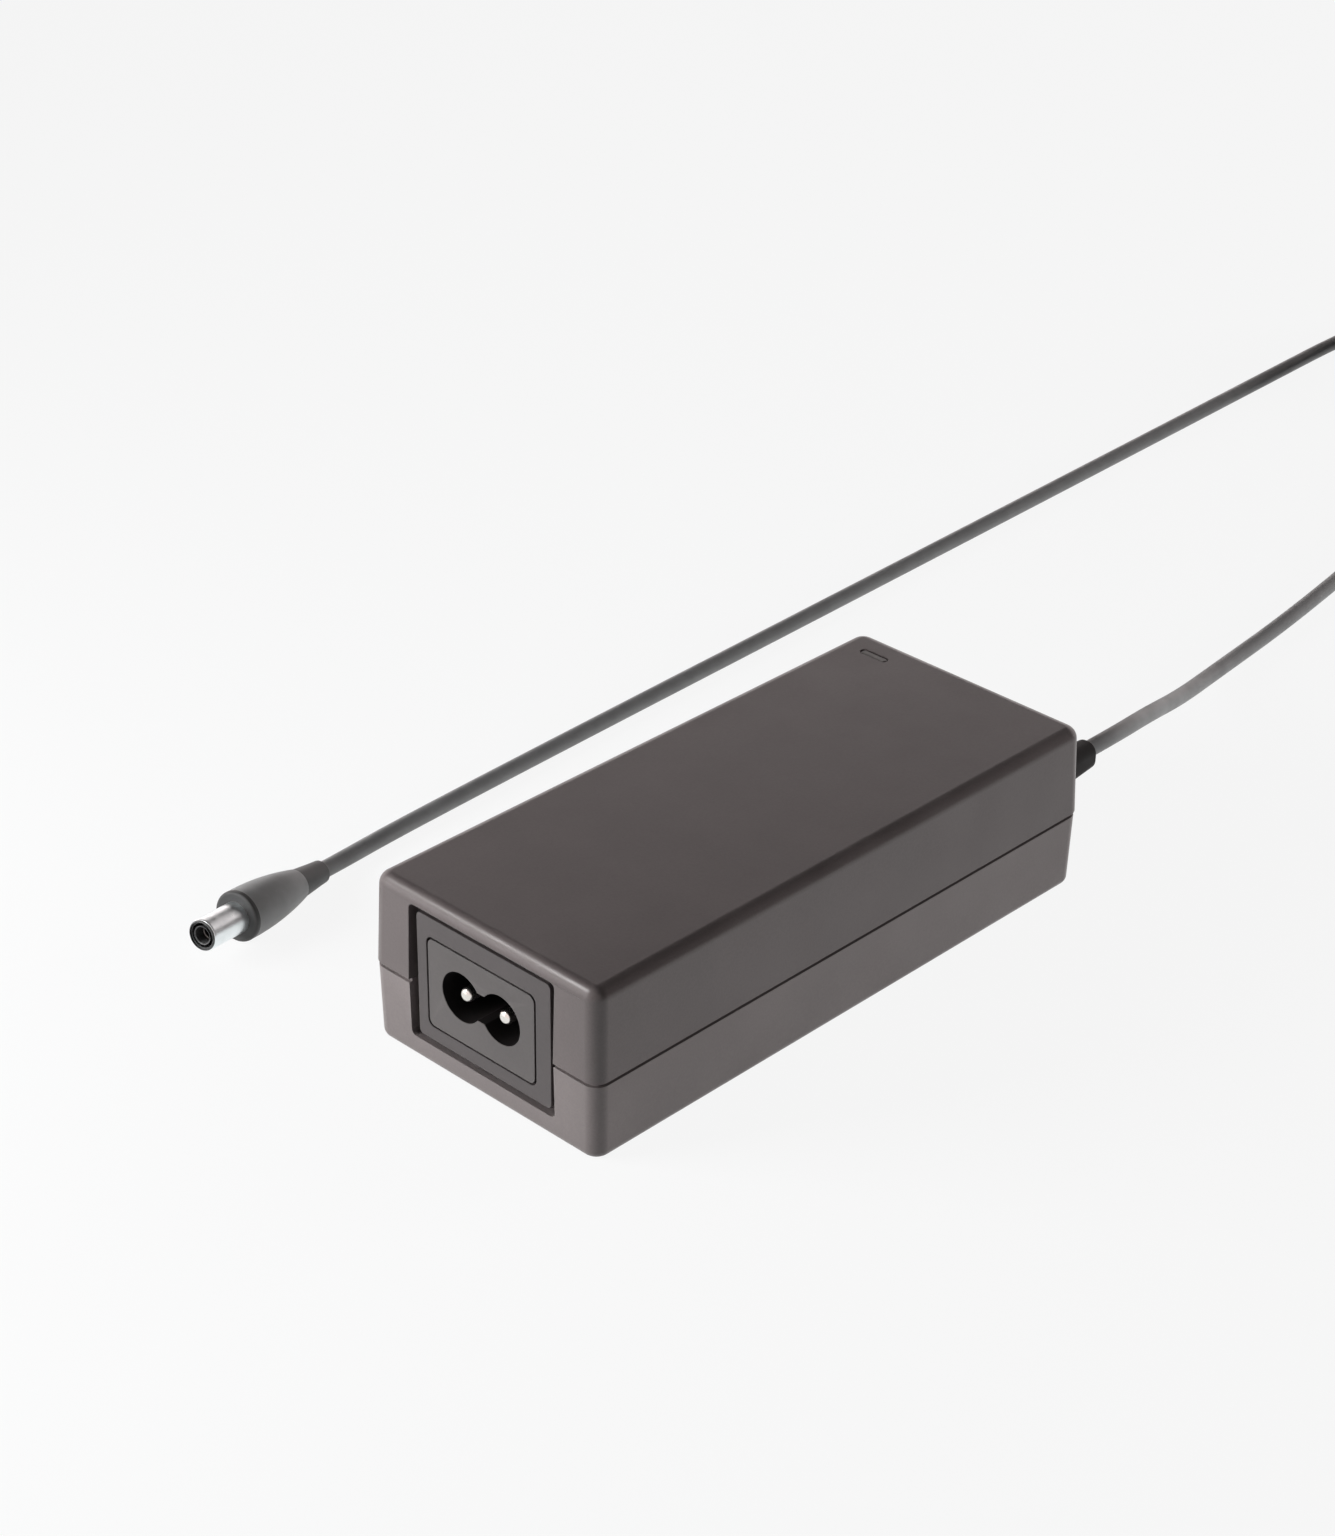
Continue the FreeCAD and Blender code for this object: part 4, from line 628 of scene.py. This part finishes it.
def turned(name, section):
    """A round piece from its half section: distance along the axis and radius, in millimetres."""
    let_go()
    bpy.ops.mesh.primitive_plane_add(size=1 * MM, location=(0, 0, 0))
    piece = bpy.context.object
    piece.name = piece.data.name = name
    bpy.ops.object.mode_set(mode="EDIT")
    bpy.ops.mesh.select_all(action="SELECT")
    bpy.ops.mesh.merge(type="CENTER")
    bpy.ops.mesh.select_mode(type="VERT")
    bpy.ops.mesh.select_all(action="SELECT")
    here = (0.0, 0.0)
    for number, (along, radius) in enumerate(section):
        step = {"value": ((along - here[0]) * MM, 0, (radius - here[1]) * MM)}
        if number == 0:
            bpy.ops.transform.translate(**step)
        else:
            bpy.ops.mesh.extrude_region_move(TRANSFORM_OT_translate=step)
        here = (along, radius)
    bpy.ops.mesh.select_all(action="SELECT")
    bpy.ops.mesh.spin(steps=SPIN_STEPS, angle=math.tau, center=(0, 0, 0), axis=(1, 0, 0))
    bpy.ops.mesh.select_all(action="SELECT")
    bpy.ops.mesh.remove_doubles(threshold=0.000004)
    bpy.ops.mesh.normals_make_consistent(inside=False)
    bpy.ops.object.mode_set(mode="OBJECT")
    return piece


def plug_piece(name, section, angle, slot, node):
    """A turned piece, laid on the plug's axis as it rests on the table, in its CAD node's place."""
    piece = turned(name, section)
    smooth(piece, angle)
    hold(piece)
    piece.matrix_world = PLUG_FRAME
    bpy.ops.object.transform_apply(location=True, rotation=True, scale=True)
    settle(piece, slot, node)
    return piece


def rounding(middle, radius, start, end, steps):
    """Points of a section's round, between two angles in degrees."""
    return [(middle[0] + radius * math.cos(math.radians(start + (end - start) * i / steps)),
             middle[1] + radius * math.sin(math.radians(start + (end - start) * i / steps)))
            for i in range(steps + 1)]


print("plug lies", round(math.degrees(PLUG_YAW), 1), "degrees round and",
      round(math.degrees(PLUG_PITCH), 1), "degrees nose up")

# %% Metal barrel, insulator and contact
SLEEVE_FRONT, SLEEVE_BACK, SLEEVE_END = 8.8, 24.6, PLUG_LENGTH
BARREL_RADIUS, NECK_RADIUS, BARREL_BORE = 2.75, 2.45, 2.15
RING_BORE, CONTACT_BORE = 1.45, 1.05
BARREL_END, RING_END, CONTACT_END = 16.8, 16.0, 16.6
RIM_RADIUS = 2.62
barrel_section = [(0.3, 2.3), (0.3, RIM_RADIUS), (0.42, 2.73), (0.6, BARREL_RADIUS),
                  (SLEEVE_FRONT, BARREL_RADIUS), (SLEEVE_FRONT, NECK_RADIUS),
                  (BARREL_END, NECK_RADIUS), (BARREL_END, BARREL_BORE),
                  (0.45, BARREL_BORE), (0.3, 2.3)]
ring_section = (rounding((0.22, 2.4), 0.22, 180, 90, 4)
                + [(0.29, RIM_RADIUS), (0.29, BARREL_BORE), (RING_END, BARREL_BORE),
                   (RING_END, RING_BORE)]
                + rounding((0.45, RING_BORE + 0.2), 0.2, 270, 180, 4))
contact_section = (rounding((2.2, RING_BORE - 0.2), 0.2, 180, 90, 4)
                   + [(CONTACT_END, RING_BORE), (CONTACT_END, CONTACT_BORE)]
                   + rounding((2.15, CONTACT_BORE + 0.15), 0.15, 270, 180, 3))
barrel = plug_piece("plug_sleeve_tube", barrel_section, 40, "barrel_metal", "plug_barrel")
insulator = plug_piece("plug_insulating_ring", ring_section, 40, "insulator_black",
                       "plug_insulator")
contact = plug_piece("plug_spring_contact", contact_section, 40, "contact_metal", "plug_contact")

# %% [markdown]
# The moulded sleeve is fullest just behind the barrel and narrows along a very flat curve to the
# collar. Its front edge is a small round, and the collar ends in another, where it grips the cord.

# %% Moulded sleeve and collar
FRONT_RADIUS, BACK_RADIUS, COLLAR_RADIUS = 4.4, 2.75, 2.05
CROWN_RADIUS = 60.0
FRONT_ROUND, END_ROUND, LIFT = 0.55, 0.3, 0.04
SLEEVE_BORE, BEHIND_FRONT = 2.4, 0.4
# How far back from the sleeve's front edge the sleeve is painted darker, as painted shade.
FRONT_SHADE_LENGTH = 0.9


def crown(steps):
    """The sleeve's long flat curve, from its full front to the collar."""
    chord = Vector((SLEEVE_BACK - SLEEVE_FRONT, BACK_RADIUS - FRONT_RADIUS))
    rise = CROWN_RADIUS - math.sqrt(CROWN_RADIUS ** 2 - (chord.length / 2) ** 2)
    across = Vector((-chord.y, chord.x)).normalized()
    points = []
    for i in range(steps + 1):
        share = i / steps
        bulge = rise * (1 - (2 * share - 1) ** 2)
        point = Vector((SLEEVE_FRONT, FRONT_RADIUS)) + chord * share + across * bulge
        points.append((point.x, point.y))
    return points


sleeve_section = [(SLEEVE_FRONT + BEHIND_FRONT, 0.0), (SLEEVE_FRONT + BEHIND_FRONT, SLEEVE_BORE),
                  (SLEEVE_FRONT, SLEEVE_BORE)]
sleeve_section += rounding((SLEEVE_FRONT + FRONT_ROUND, FRONT_RADIUS - FRONT_ROUND + LIFT),
                           FRONT_ROUND, 180, 92, 6)
sleeve_section += crown(16)[1:]
sleeve_section += [(SLEEVE_BACK + 0.1, BACK_RADIUS - 0.12), (SLEEVE_BACK + 0.3, BACK_RADIUS - 0.15),
                   (SLEEVE_BACK + 2.4, BACK_RADIUS - 0.34), (SLEEVE_BACK + 4.6, BACK_RADIUS - 0.56)]
sleeve_section += rounding((SLEEVE_END - END_ROUND, COLLAR_RADIUS - END_ROUND), END_ROUND, 90, 0, 4)
sleeve_section += [(SLEEVE_END, 1.55), (SLEEVE_END - 1.5, 1.5), (SLEEVE_END - 1.5, 0.0)]
sleeve = plug_piece("plug_moulded_sleeve", sleeve_section, 35, "plug_jacket", "plug_overmould")

# %% [markdown]

# %% The cord is drawn
print("cord drawn")

# %% [markdown]
# ## Finishes
#
# A finish is more than a colour. Moulded plastic takes the fine sparked texture of its mould, its
# gloss is a little uneven where hands have rubbed it, and its edges are polished paler. Each finish
# is built from the same few steps, so those come first: a shader, a mottled colour, a grained
# surface and an uneven gloss. All patterns are placed by object coordinates in metres, so a grain
# that is half a millimetre across stays so on every piece.

# %% Steps that finishes share
FINISHES = {}


def shader_of(paint):
    """The surface shader of a finish."""
    return paint.node_tree.nodes["Principled BSDF"]


def new_finish(name, colour, roughness, metallic=0.0):
    """A finish with a plain start, to be given its pattern."""
    paint = bpy.data.materials.new(name)
    FINISHES[name] = paint
    paint.use_nodes = True
    paint.diffuse_color = (*colour, 1.0)
    shader = shader_of(paint)
    shader.inputs["Base Color"].default_value = (*colour, 1.0)
    shader.inputs["Roughness"].default_value = roughness
    shader.inputs["Metallic"].default_value = metallic
    return paint


def place_in_metres(tree):
    """The place on the object, which carries a pattern from piece to piece."""
    return tree.nodes.new("ShaderNodeTexCoord").outputs["Object"]


def speckle(paint, size, detail=3.0, stretch=(1.0, 1.0, 1.0)):
    """A noise whose lumps are this many millimetres across."""
    tree = paint.node_tree
    scale = tree.nodes.new("ShaderNodeMapping")
    scale.inputs["Scale"].default_value = [s / (size * MM) for s in stretch]
    noise = tree.nodes.new("ShaderNodeTexNoise")
    noise.inputs["Scale"].default_value = 1.0
    noise.inputs["Detail"].default_value = detail
    tree.links.new(place_in_metres(tree), scale.inputs["Vector"])
    tree.links.new(scale.outputs["Vector"], noise.inputs["Vector"])
    return noise.outputs["Fac"]


def stretched(tree, value, low, high, first, last, kind="LINEAR"):
    """The value, stretched so that low becomes first and high becomes last."""
    step = tree.nodes.new("ShaderNodeMapRange")
    step.interpolation_type = kind
    step.inputs["From Min"].default_value = low
    step.inputs["From Max"].default_value = high
    step.inputs["To Min"].default_value = first
    step.inputs["To Max"].default_value = last
    tree.links.new(value, step.inputs["Value"])
    return step.outputs["Result"]


def scaled(tree, colour, factor):
    """The colour, made lighter or darker by a pattern."""
    product = tree.nodes.new("ShaderNodeVectorMath")
    product.operation = "SCALE"
    tree.links.new(colour, product.inputs[0])
    tree.links.new(factor, product.inputs["Scale"])
    return product.outputs["Vector"]


def mottle(paint, pattern, dark, light, low=0.35, high=0.65):
    """Lets the colour wander between two close tones."""
    tree = paint.node_tree
    tones = tree.nodes.new("ShaderNodeValToRGB")
    tones.color_ramp.elements[0].position = low
    tones.color_ramp.elements[0].color = (*dark, 1.0)
    tones.color_ramp.elements[1].position = high
    tones.color_ramp.elements[1].color = (*light, 1.0)
    tree.links.new(pattern, tones.inputs["Fac"])
    tree.links.new(tones.outputs["Color"], shader_of(paint).inputs["Base Color"])
    return tones.outputs["Color"]


def uneven_gloss(paint, pattern, glossy, dull):
    """Lets the roughness wander between two values."""
    tree = paint.node_tree
    tree.links.new(stretched(tree, pattern, 0.3, 0.7, glossy, dull),
                   shader_of(paint).inputs["Roughness"])


def grain(paint, pattern, height):
    """Raises the surface by the pattern, this many millimetres at most."""
    tree = paint.node_tree
    bump = tree.nodes.new("ShaderNodeBump")
    bump.inputs["Distance"].default_value = height * MM
    bump.inputs["Strength"].default_value = 1.0
    tree.links.new(pattern, bump.inputs["Height"])
    tree.links.new(bump.outputs["Normal"], shader_of(paint).inputs["Normal"])


def grey(value):
    """A colour with no tint."""
    return (value, value, value)


def shade(colour, factor):
    """The same colour, lighter or darker."""
    return tuple(min(1.0, c * factor) for c in colour)


print("finish helpers ready")

# %% [markdown]
# ### Case plastic
#
# The case is a warm dark grey, never pure black, and its lower half is a little lighter. Under a lens
# its surface is a fine even grain, which spreads each highlight. The edges of a used case are rubbed a
# shade paler, and pointiness, which measures how much a surface bulges, finds those edges. The inside
# of the socket is painted nearly black, with a weak sheen, as painted shade deep in the hole.

# %% Case plastic
def moulded_plastic(name, colour, roughness, grain_size, grain_height, wear=1.25):
    """Sparked grey plastic with a wandering tone and rubbed edges."""
    paint = new_finish(name, colour, roughness)
    tree = paint.node_tree
    tone = mottle(paint, speckle(paint, 14.0, 4.0), shade(colour, 0.95), shade(colour, 1.05))
    fine = speckle(paint, grain_size, 4.0)
    grained = scaled(tree, tone, stretched(tree, fine, 0.3, 0.7, 0.93, 1.07))
    shape = tree.nodes.new("ShaderNodeNewGeometry")
    edges = stretched(tree, shape.outputs["Pointiness"], 0.52, 0.62, 1.0, wear)
    tree.links.new(scaled(tree, grained, edges), shader_of(paint).inputs["Base Color"])
    uneven_gloss(paint, speckle(paint, 9.0, 3.0), roughness - 0.05, roughness + 0.05)
    grain(paint, fine, grain_height)
    return paint


moulded_plastic("case_plastic", (0.080, 0.066, 0.065), 0.34, 0.35, 0.010)
moulded_plastic("lower_plastic", (0.116, 0.098, 0.096), 0.36, 0.35, 0.010)
moulded_plastic("panel_plastic", (0.044, 0.037, 0.037), 0.34, 0.45, 0.006, 1.15)
moulded_plastic("inlet_plastic", (0.057, 0.050, 0.049), 0.34, 0.45, 0.005, 1.2)
# Painted shade: the socket's inside is made nearly black, with a weak sheen, for the darkness deep in
# the hole.
socket_painted_shade = moulded_plastic("socket_painted_shade", (0.006, 0.005, 0.005), 0.6, 0.45, 0.005, 1.0)
shader_of(socket_painted_shade).inputs["Specular IOR Level"].default_value = 0.12
print("plastics mixed")

# %% [markdown]
# ### Cord, sleeve and strain relief
#
# The cord's jacket is soft plastic, smooth but not shiny, with the faint draw lines of the die that
# it was pressed through. The plug's sleeve is the same material with a slightly rougher skin. Its
# collar is darker, its front edge is painted darker still as painted shade, and the strain relief is
# blacker and duller.

# %% Soft plastics
def soft_plastic(name, colour, roughness, skin_size, skin_height):
    """A soft jacket: close tones, a fine skin and a low sheen."""
    paint = new_finish(name, colour, roughness)
    mottle(paint, speckle(paint, 3.0, 4.0), shade(colour, 0.93), shade(colour, 1.07))
    uneven_gloss(paint, speckle(paint, 5.0, 2.0), roughness - 0.06, roughness + 0.06)
    grain(paint, speckle(paint, skin_size, 3.0), skin_height)
    return paint


soft_plastic("cord_jacket", grey(0.155), 0.42, 0.5, 0.008)
soft_plastic("plug_jacket", grey(0.215), 0.5, 0.4, 0.010)
soft_plastic("collar_jacket", grey(0.055), 0.5, 0.4, 0.010)
# Painted shade: a much darker copy of the sleeve's jacket, for the band at its front edge.
soft_plastic("front_painted_shade", grey(0.030), 0.5, 0.4, 0.010)
rubber_black = soft_plastic("rubber_black", (0.010, 0.009, 0.009), 0.6, 0.4, 0.010)
shader_of(rubber_black).inputs["Specular IOR Level"].default_value = 0.2
soft_plastic("wire_black", grey(0.018), 0.35, 0.4, 0.004)
soft_plastic("wire_red", (0.42, 0.022, 0.018), 0.35, 0.4, 0.004)
print("jackets mixed")

# %% [markdown]
# ### Bright metal
#
# The barrel and the pins are nickel plated. Plating follows the marks of turning, so the surface has
# very fine rings round the axis and a few duller patches from handling. Bright metal shows what is
# round it, so most of its look comes from the pale room.

# %% Plated metal
def plated(name, colour, roughness, mark_size):
    """Bright plate over fine marks."""
    paint = new_finish(name, colour, roughness, metallic=1.0)
    mottle(paint, speckle(paint, 2.5, 3.0), shade(colour, 0.94), shade(colour, 1.03))
    uneven_gloss(paint, speckle(paint, 1.2, 4.0), roughness - 0.05, roughness + 0.09)
    grain(paint, speckle(paint, mark_size, 2.0, stretch=(6.0, 1.0, 1.0)), 0.002)


plated("barrel_metal", (0.87, 0.92, 0.93), 0.32, 0.8)
plated("contact_metal", (0.84, 0.82, 0.78), 0.24, 0.8)
plated("spring_metal", (0.16, 0.15, 0.14), 0.45, 0.8)
plated("steel", (0.55, 0.55, 0.56), 0.30, 0.5)
plated("aluminium", (0.66, 0.67, 0.68), 0.38, 0.6)
print("metals plated")

# %% [markdown]
# ### Hard glossy pieces
#
# The insulating ring in the plug, the shrink sleeves of the capacitors and the light pipe are smooth.
# Their gloss is broken only by faint waviness.

# %% Glossy plastics
def glossy_plastic(name, colour, roughness, coat=0.0):
    """A smooth hard surface with faint waves and dust."""
    paint = new_finish(name, colour, roughness)
    shader_of(paint).inputs["Coat Weight"].default_value = coat
    mottle(paint, speckle(paint, 2.0, 4.0), shade(colour, 0.9), shade(colour, 1.1))
    uneven_gloss(paint, speckle(paint, 1.0, 4.0), roughness - 0.04, roughness + 0.08)
    grain(paint, speckle(paint, 1.6, 2.0), 0.006)


glossy_plastic("insulator_black", grey(0.05), 0.5)
glossy_plastic("window_plastic", (0.115, 0.105, 0.10), 0.34)
glossy_plastic("can_sleeve", (0.022, 0.022, 0.045), 0.22, coat=0.4)
glossy_plastic("part_black", grey(0.018), 0.42)
glossy_plastic("part_yellow", (0.60, 0.42, 0.05), 0.34)
glossy_plastic("part_blue", (0.025, 0.085, 0.26), 0.28, coat=0.3)
glossy_plastic("part_green", (0.022, 0.10, 0.045), 0.30, coat=0.3)
glossy_plastic("led_clear", (0.10, 0.42, 0.14), 0.12, coat=0.5)
glossy_plastic("film", (0.55, 0.55, 0.52), 0.30)
print("glossy plastics mixed")

# %% [markdown]
# ### What is inside
#
# The inner parts came from the CAD model as they are. The board is woven glass in tan resin, so its
# tone follows a checked weave. The windings are enamelled copper, laid turn beside turn, which a
# banded wave shows. Ferrite is a dull, grainy ceramic.

# %% Board, copper and ferrite
# A wave texture of scale 1 draws about 3.2 bands in each unit of length.
BANDS_A_UNIT = 3.2
WEAVE_SIZE = 0.9


def woven_board(name, colour):
    """Laminate with the weave of its glass cloth."""
    paint = new_finish(name, colour, 0.5)
    tree = paint.node_tree
    weave = tree.nodes.new("ShaderNodeTexChecker")
    weave.inputs["Scale"].default_value = 1 / (WEAVE_SIZE * MM)
    weave.inputs["Color1"].default_value = (*shade(colour, 0.88), 1.0)
    weave.inputs["Color2"].default_value = (*shade(colour, 1.08), 1.0)
    tree.links.new(place_in_metres(tree), weave.inputs["Vector"])
    tree.links.new(weave.outputs["Color"], shader_of(paint).inputs["Base Color"])
    uneven_gloss(paint, speckle(paint, 6.0, 3.0), 0.38, 0.6)
    grain(paint, weave.outputs["Fac"], 0.01)


def wound_copper(name, colour, wire, direction):
    """Enamelled wire laid in turns, this many millimetres apart."""
    paint = new_finish(name, colour, 0.28, metallic=1.0)
    tree = paint.node_tree
    turns = tree.nodes.new("ShaderNodeTexWave")
    turns.bands_direction = direction
    turns.inputs["Scale"].default_value = 1 / (wire * MM) / BANDS_A_UNIT
    turns.inputs["Distortion"].default_value = 0.6
    turns.inputs["Detail"].default_value = 1.0
    tree.links.new(place_in_metres(tree), turns.inputs["Vector"])
    mottle(paint, turns.outputs["Fac"], shade(colour, 0.55), shade(colour, 1.1), 0.1, 0.6)
    uneven_gloss(paint, speckle(paint, 1.0, 3.0), 0.2, 0.4)
    grain(paint, turns.outputs["Fac"], 0.08)


def dull_ceramic(name, colour):
    """Pressed and fired powder: dull, with fine pits."""
    paint = new_finish(name, colour, 0.7)
    mottle(paint, speckle(paint, 1.5, 6.0), shade(colour, 0.8), shade(colour, 1.2))
    uneven_gloss(paint, speckle(paint, 0.8, 3.0), 0.6, 0.8)
    grain(paint, speckle(paint, 0.3, 4.0), 0.015)


woven_board("board_laminate", (0.33, 0.24, 0.10))
wound_copper("copper_wire", (0.62, 0.25, 0.11), 0.5, "Z")
dull_ceramic("ferrite", (0.045, 0.045, 0.048))
print("inner finishes ready")

# %% Put every finish on its piece
def give(piece, name):
    """Gives this piece the finish of this name."""
    paint = FINISHES[name]
    if piece.data.materials:
        for number in range(len(piece.material_slots)):
            piece.material_slots[number].link = "OBJECT"
            piece.material_slots[number].material = paint
    else:
        piece.data.materials.append(paint)


def repaint(piece, name, wanted):
    """Gives the wanted faces of a piece a finish of their own."""
    piece.data.materials.append(FINISHES[name])
    faces = pick_faces(piece, wanted)
    piece.active_material_index = len(piece.data.materials) - 1
    bpy.ops.object.material_slot_assign()
    bpy.ops.object.mode_set(mode="OBJECT")
    print(faces, "faces of", piece.name, "repainted with", name)


def along_plug(middle):
    """How far this millimetre point is from the plug's tip, along the plug."""
    return (Vector(middle) - PLUG_TIP).dot(PLUG_AXIS)


def in_socket(middle, normal):
    """True for faces of the figure-8 socket's inside."""
    reach = LOBE + 0.25
    return (middle.x > panel_front + 0.1
            and abs(middle.y - INLET_SIDE) < PIN_OFFSET + reach
            and abs(middle.z - SOCKET_HEIGHT) < reach)


for piece, name in ((upper, "case_plastic"), (lower, "lower_plastic"),
                    (plate, "panel_plastic"), (inlet, "inlet_plastic"),
                    (window, "window_plastic"), (relief, "rubber_black"),
                    (output_cord, "cord_jacket"), (sleeve, "plug_jacket"),
                    (barrel, "barrel_metal"), (insulator, "insulator_black"),
                    (contact, "spring_metal")):
    give(piece, name)
# The faces inside the socket get the painted shade.
repaint(inlet, "socket_painted_shade", in_socket)
repaint(sleeve, "collar_jacket", lambda middle, normal: along_plug(middle) > SLEEVE_BACK)
# The band at the sleeve's front edge gets the painted shade.
repaint(sleeve, "front_painted_shade",
        lambda middle, normal: along_plug(middle) < SLEEVE_FRONT + FRONT_SHADE_LENGTH)

dressed = 0
for row in frame["record"]["subparts"]:
    node = frame["nodes"].get(row["node"])
    if node is not None and not node.hide_render:
        give(node, row["material_slot"])
        dressed += 1
print(dressed, "CAD pieces kept and finished")

# %% [markdown]
# ## Table, room and light
#
# The picture was taken on a pale seamless sweep. The table here is a large sheet that the camera sees
# almost white, with just enough of its real shading left to keep a soft shadow under the case. The
# light comes from two soft boxes: a stronger one on the left, behind the inlet end, and a weaker one
# low on the right. Nothing much comes from above or from the camera, which is why the top of the case
# is its darkest face.

# %% Table
TABLE_GREY, TABLE_GLOW = 0.86, 0.965
GLOW_SEEN, GLOW_UNSEEN = 0.93, 0.35


def combined(tree, how, first, second):
    """Two values, multiplied or the larger of the two."""
    both = tree.nodes.new("ShaderNodeMath")
    both.operation = how
    tree.links.new(first, both.inputs[0])
    tree.links.new(second, both.inputs[1])
    return both.outputs["Value"]


def mixed(tree, share, first, second):
    """Two shaders, mixed by a share: nothing gives the first and one the second."""
    both = tree.nodes.new("ShaderNodeMixShader")
    tree.links.new(share, both.inputs["Fac"])
    tree.links.new(first, both.inputs[1])
    tree.links.new(second, both.inputs[2])
    return both.outputs["Shader"]


def seen_directly(tree):
    """One where the ray comes from the camera, a mirror or glass, and nothing elsewhere."""
    ray = tree.nodes.new("ShaderNodeLightPath").outputs
    either = combined(tree, "MAXIMUM", ray["Is Camera Ray"], ray["Is Glossy Ray"])
    return combined(tree, "MAXIMUM", either, ray["Is Transmission Ray"])


def pale_table():
    """A wide pale sheet that stays bright and keeps a soft shadow."""
    let_go()
    bpy.ops.mesh.primitive_plane_add(size=12, location=(0, 0, 0))
    table = bpy.context.object
    table.name = "pale_table"
    paper = bpy.data.materials.new("pale_paper")
    paper.use_nodes = True
    tree = paper.node_tree
    tree.nodes.clear()
    out = tree.nodes.new("ShaderNodeOutputMaterial")
    matt = tree.nodes.new("ShaderNodeBsdfDiffuse")
    matt.inputs["Color"].default_value = (*grey(TABLE_GREY), 1)
    glow = tree.nodes.new("ShaderNodeEmission")
    glow.inputs["Color"].default_value = (*grey(TABLE_GLOW), 1)
    part = tree.nodes.new("ShaderNodeMath")
    part.operation = "MULTIPLY_ADD"
    part.inputs[1].default_value = GLOW_SEEN - GLOW_UNSEEN
    part.inputs[2].default_value = GLOW_UNSEEN
    tree.links.new(seen_directly(tree), part.inputs[0])
    tree.links.new(mixed(tree, part.outputs["Value"], matt.outputs["BSDF"],
                         glow.outputs["Emission"]), out.inputs["Surface"])
    table.data.materials.append(paper)


pale_table()
print("table laid")

# %% [markdown]
# Shiny surfaces show the room, so the room has a pattern that only mirrors see: a bright wall low
# down behind the case, a bright left side, and a bright end on the right that lights up the plug's
# barrel. Two small cards, rim_box and near_card, are seen by mirrors too and light nothing else. They
# draw the thin highlight along the top edge over the inlet. An even white room would be simpler, but
# then every face would shine alike.

# %% Room
BRIGHT_UP_TO, BRIGHT_BEHIND = (0.37, 0.56), (-0.2, 0.3)
LEFT_SIDE, RIGHT_END = (-0.35, 0.05), (0.74, 0.86)
WALL_LIGHT, LEFT_LIGHT, RIGHT_LIGHT = 1.7, 1.0, 1.4
MIRRORED_TINT = (1.0, 0.91, 0.90)
SEEN_GREY, FAINT_LIGHT = 0.93, 0.05


def ramp(tree, value, ends, first, last):
    """A soft step between two ends: first before it, last past it."""
    return stretched(tree, value, *ends, first, last, "SMOOTHSTEP")


def background(tree, colour):
    """A background of this colour."""
    shader = tree.nodes.new("ShaderNodeBackground")
    shader.inputs["Color"].default_value = (*colour, 1)
    return shader


def pale_room():
    """A white room that mirrors see as a bright low wall, a bright left side and right end."""
    world = bpy.data.worlds.new("pale_room")
    bpy.context.scene.world = world
    world.use_nodes = True
    tree = world.node_tree
    tree.nodes.clear()
    out = tree.nodes.new("ShaderNodeOutputWorld")
    where = tree.nodes.new("ShaderNodeTexCoord")
    parts = tree.nodes.new("ShaderNodeSeparateXYZ")
    tree.links.new(where.outputs["Generated"], parts.inputs["Vector"])
    below = ramp(tree, parts.outputs["Z"], BRIGHT_UP_TO, WALL_LIGHT, 0.0)
    behind = ramp(tree, parts.outputs["Y"], BRIGHT_BEHIND, 0.0, 1.0)
    left = ramp(tree, parts.outputs["X"], LEFT_SIDE, LEFT_LIGHT, 0.0)
    right = ramp(tree, parts.outputs["X"], RIGHT_END, 0.0, RIGHT_LIGHT)
    wall = combined(tree, "MULTIPLY", below, behind)
    pattern = combined(tree, "MAXIMUM", combined(tree, "MAXIMUM", wall, left), right)
    mirrored = background(tree, MIRRORED_TINT)
    tree.links.new(pattern, mirrored.inputs["Strength"])
    plain = background(tree, grey(SEEN_GREY))
    faint = background(tree, grey(FAINT_LIGHT))
    ray = tree.nodes.new("ShaderNodeLightPath")
    white = mixed(tree, ray.outputs["Is Camera Ray"], mirrored.outputs["Background"],
                  plain.outputs["Background"])
    tree.links.new(mixed(tree, seen_directly(tree), faint.outputs["Background"], white),
                   out.inputs["Surface"])


pale_room()
print("room painted")

# %% Soft boxes and cards
def soft_box(name, place, aim, width, height, power):
    """A rectangular lamp at a place in metres, aimed at another."""
    bpy.ops.object.light_add(type="AREA", location=place)
    lamp = bpy.context.object
    lamp.name = name
    lamp.data.shape = "RECTANGLE"
    lamp.data.size = width
    lamp.data.size_y = height
    lamp.data.energy = power
    lamp.rotation_euler = (Vector(aim) - Vector(place)).to_track_quat("-Z", "Y").to_euler()
    return lamp


left = soft_box("left_soft_box", (-0.30, 0.20, 0.11), (-0.0575, 0, 0.016), 0.2, 0.15, 2.33)
left.data.color = (0.96, 0.99, 1.0)
right = soft_box("right_soft_box", (2.33, -0.88, 0.20), (0, 0, 0.015), 1.0, 0.5, 74)
left.visible_glossy = right.visible_glossy = False
rim_box = soft_box("rim_box", (-0.50, 0.60, 0.63), (-0.05, 0, 0.02), 0.3, 0.15, 0.5)
near_card = soft_box("near_card", (-0.148, 0.083, 0.142), (-0.0575, -0.025, 0.03),
                     0.06, 0.04, 0.11)
rim_box.visible_diffuse = near_card.visible_diffuse = False
print("lights set")

# %% Update the scene
bpy.context.view_layer.update()
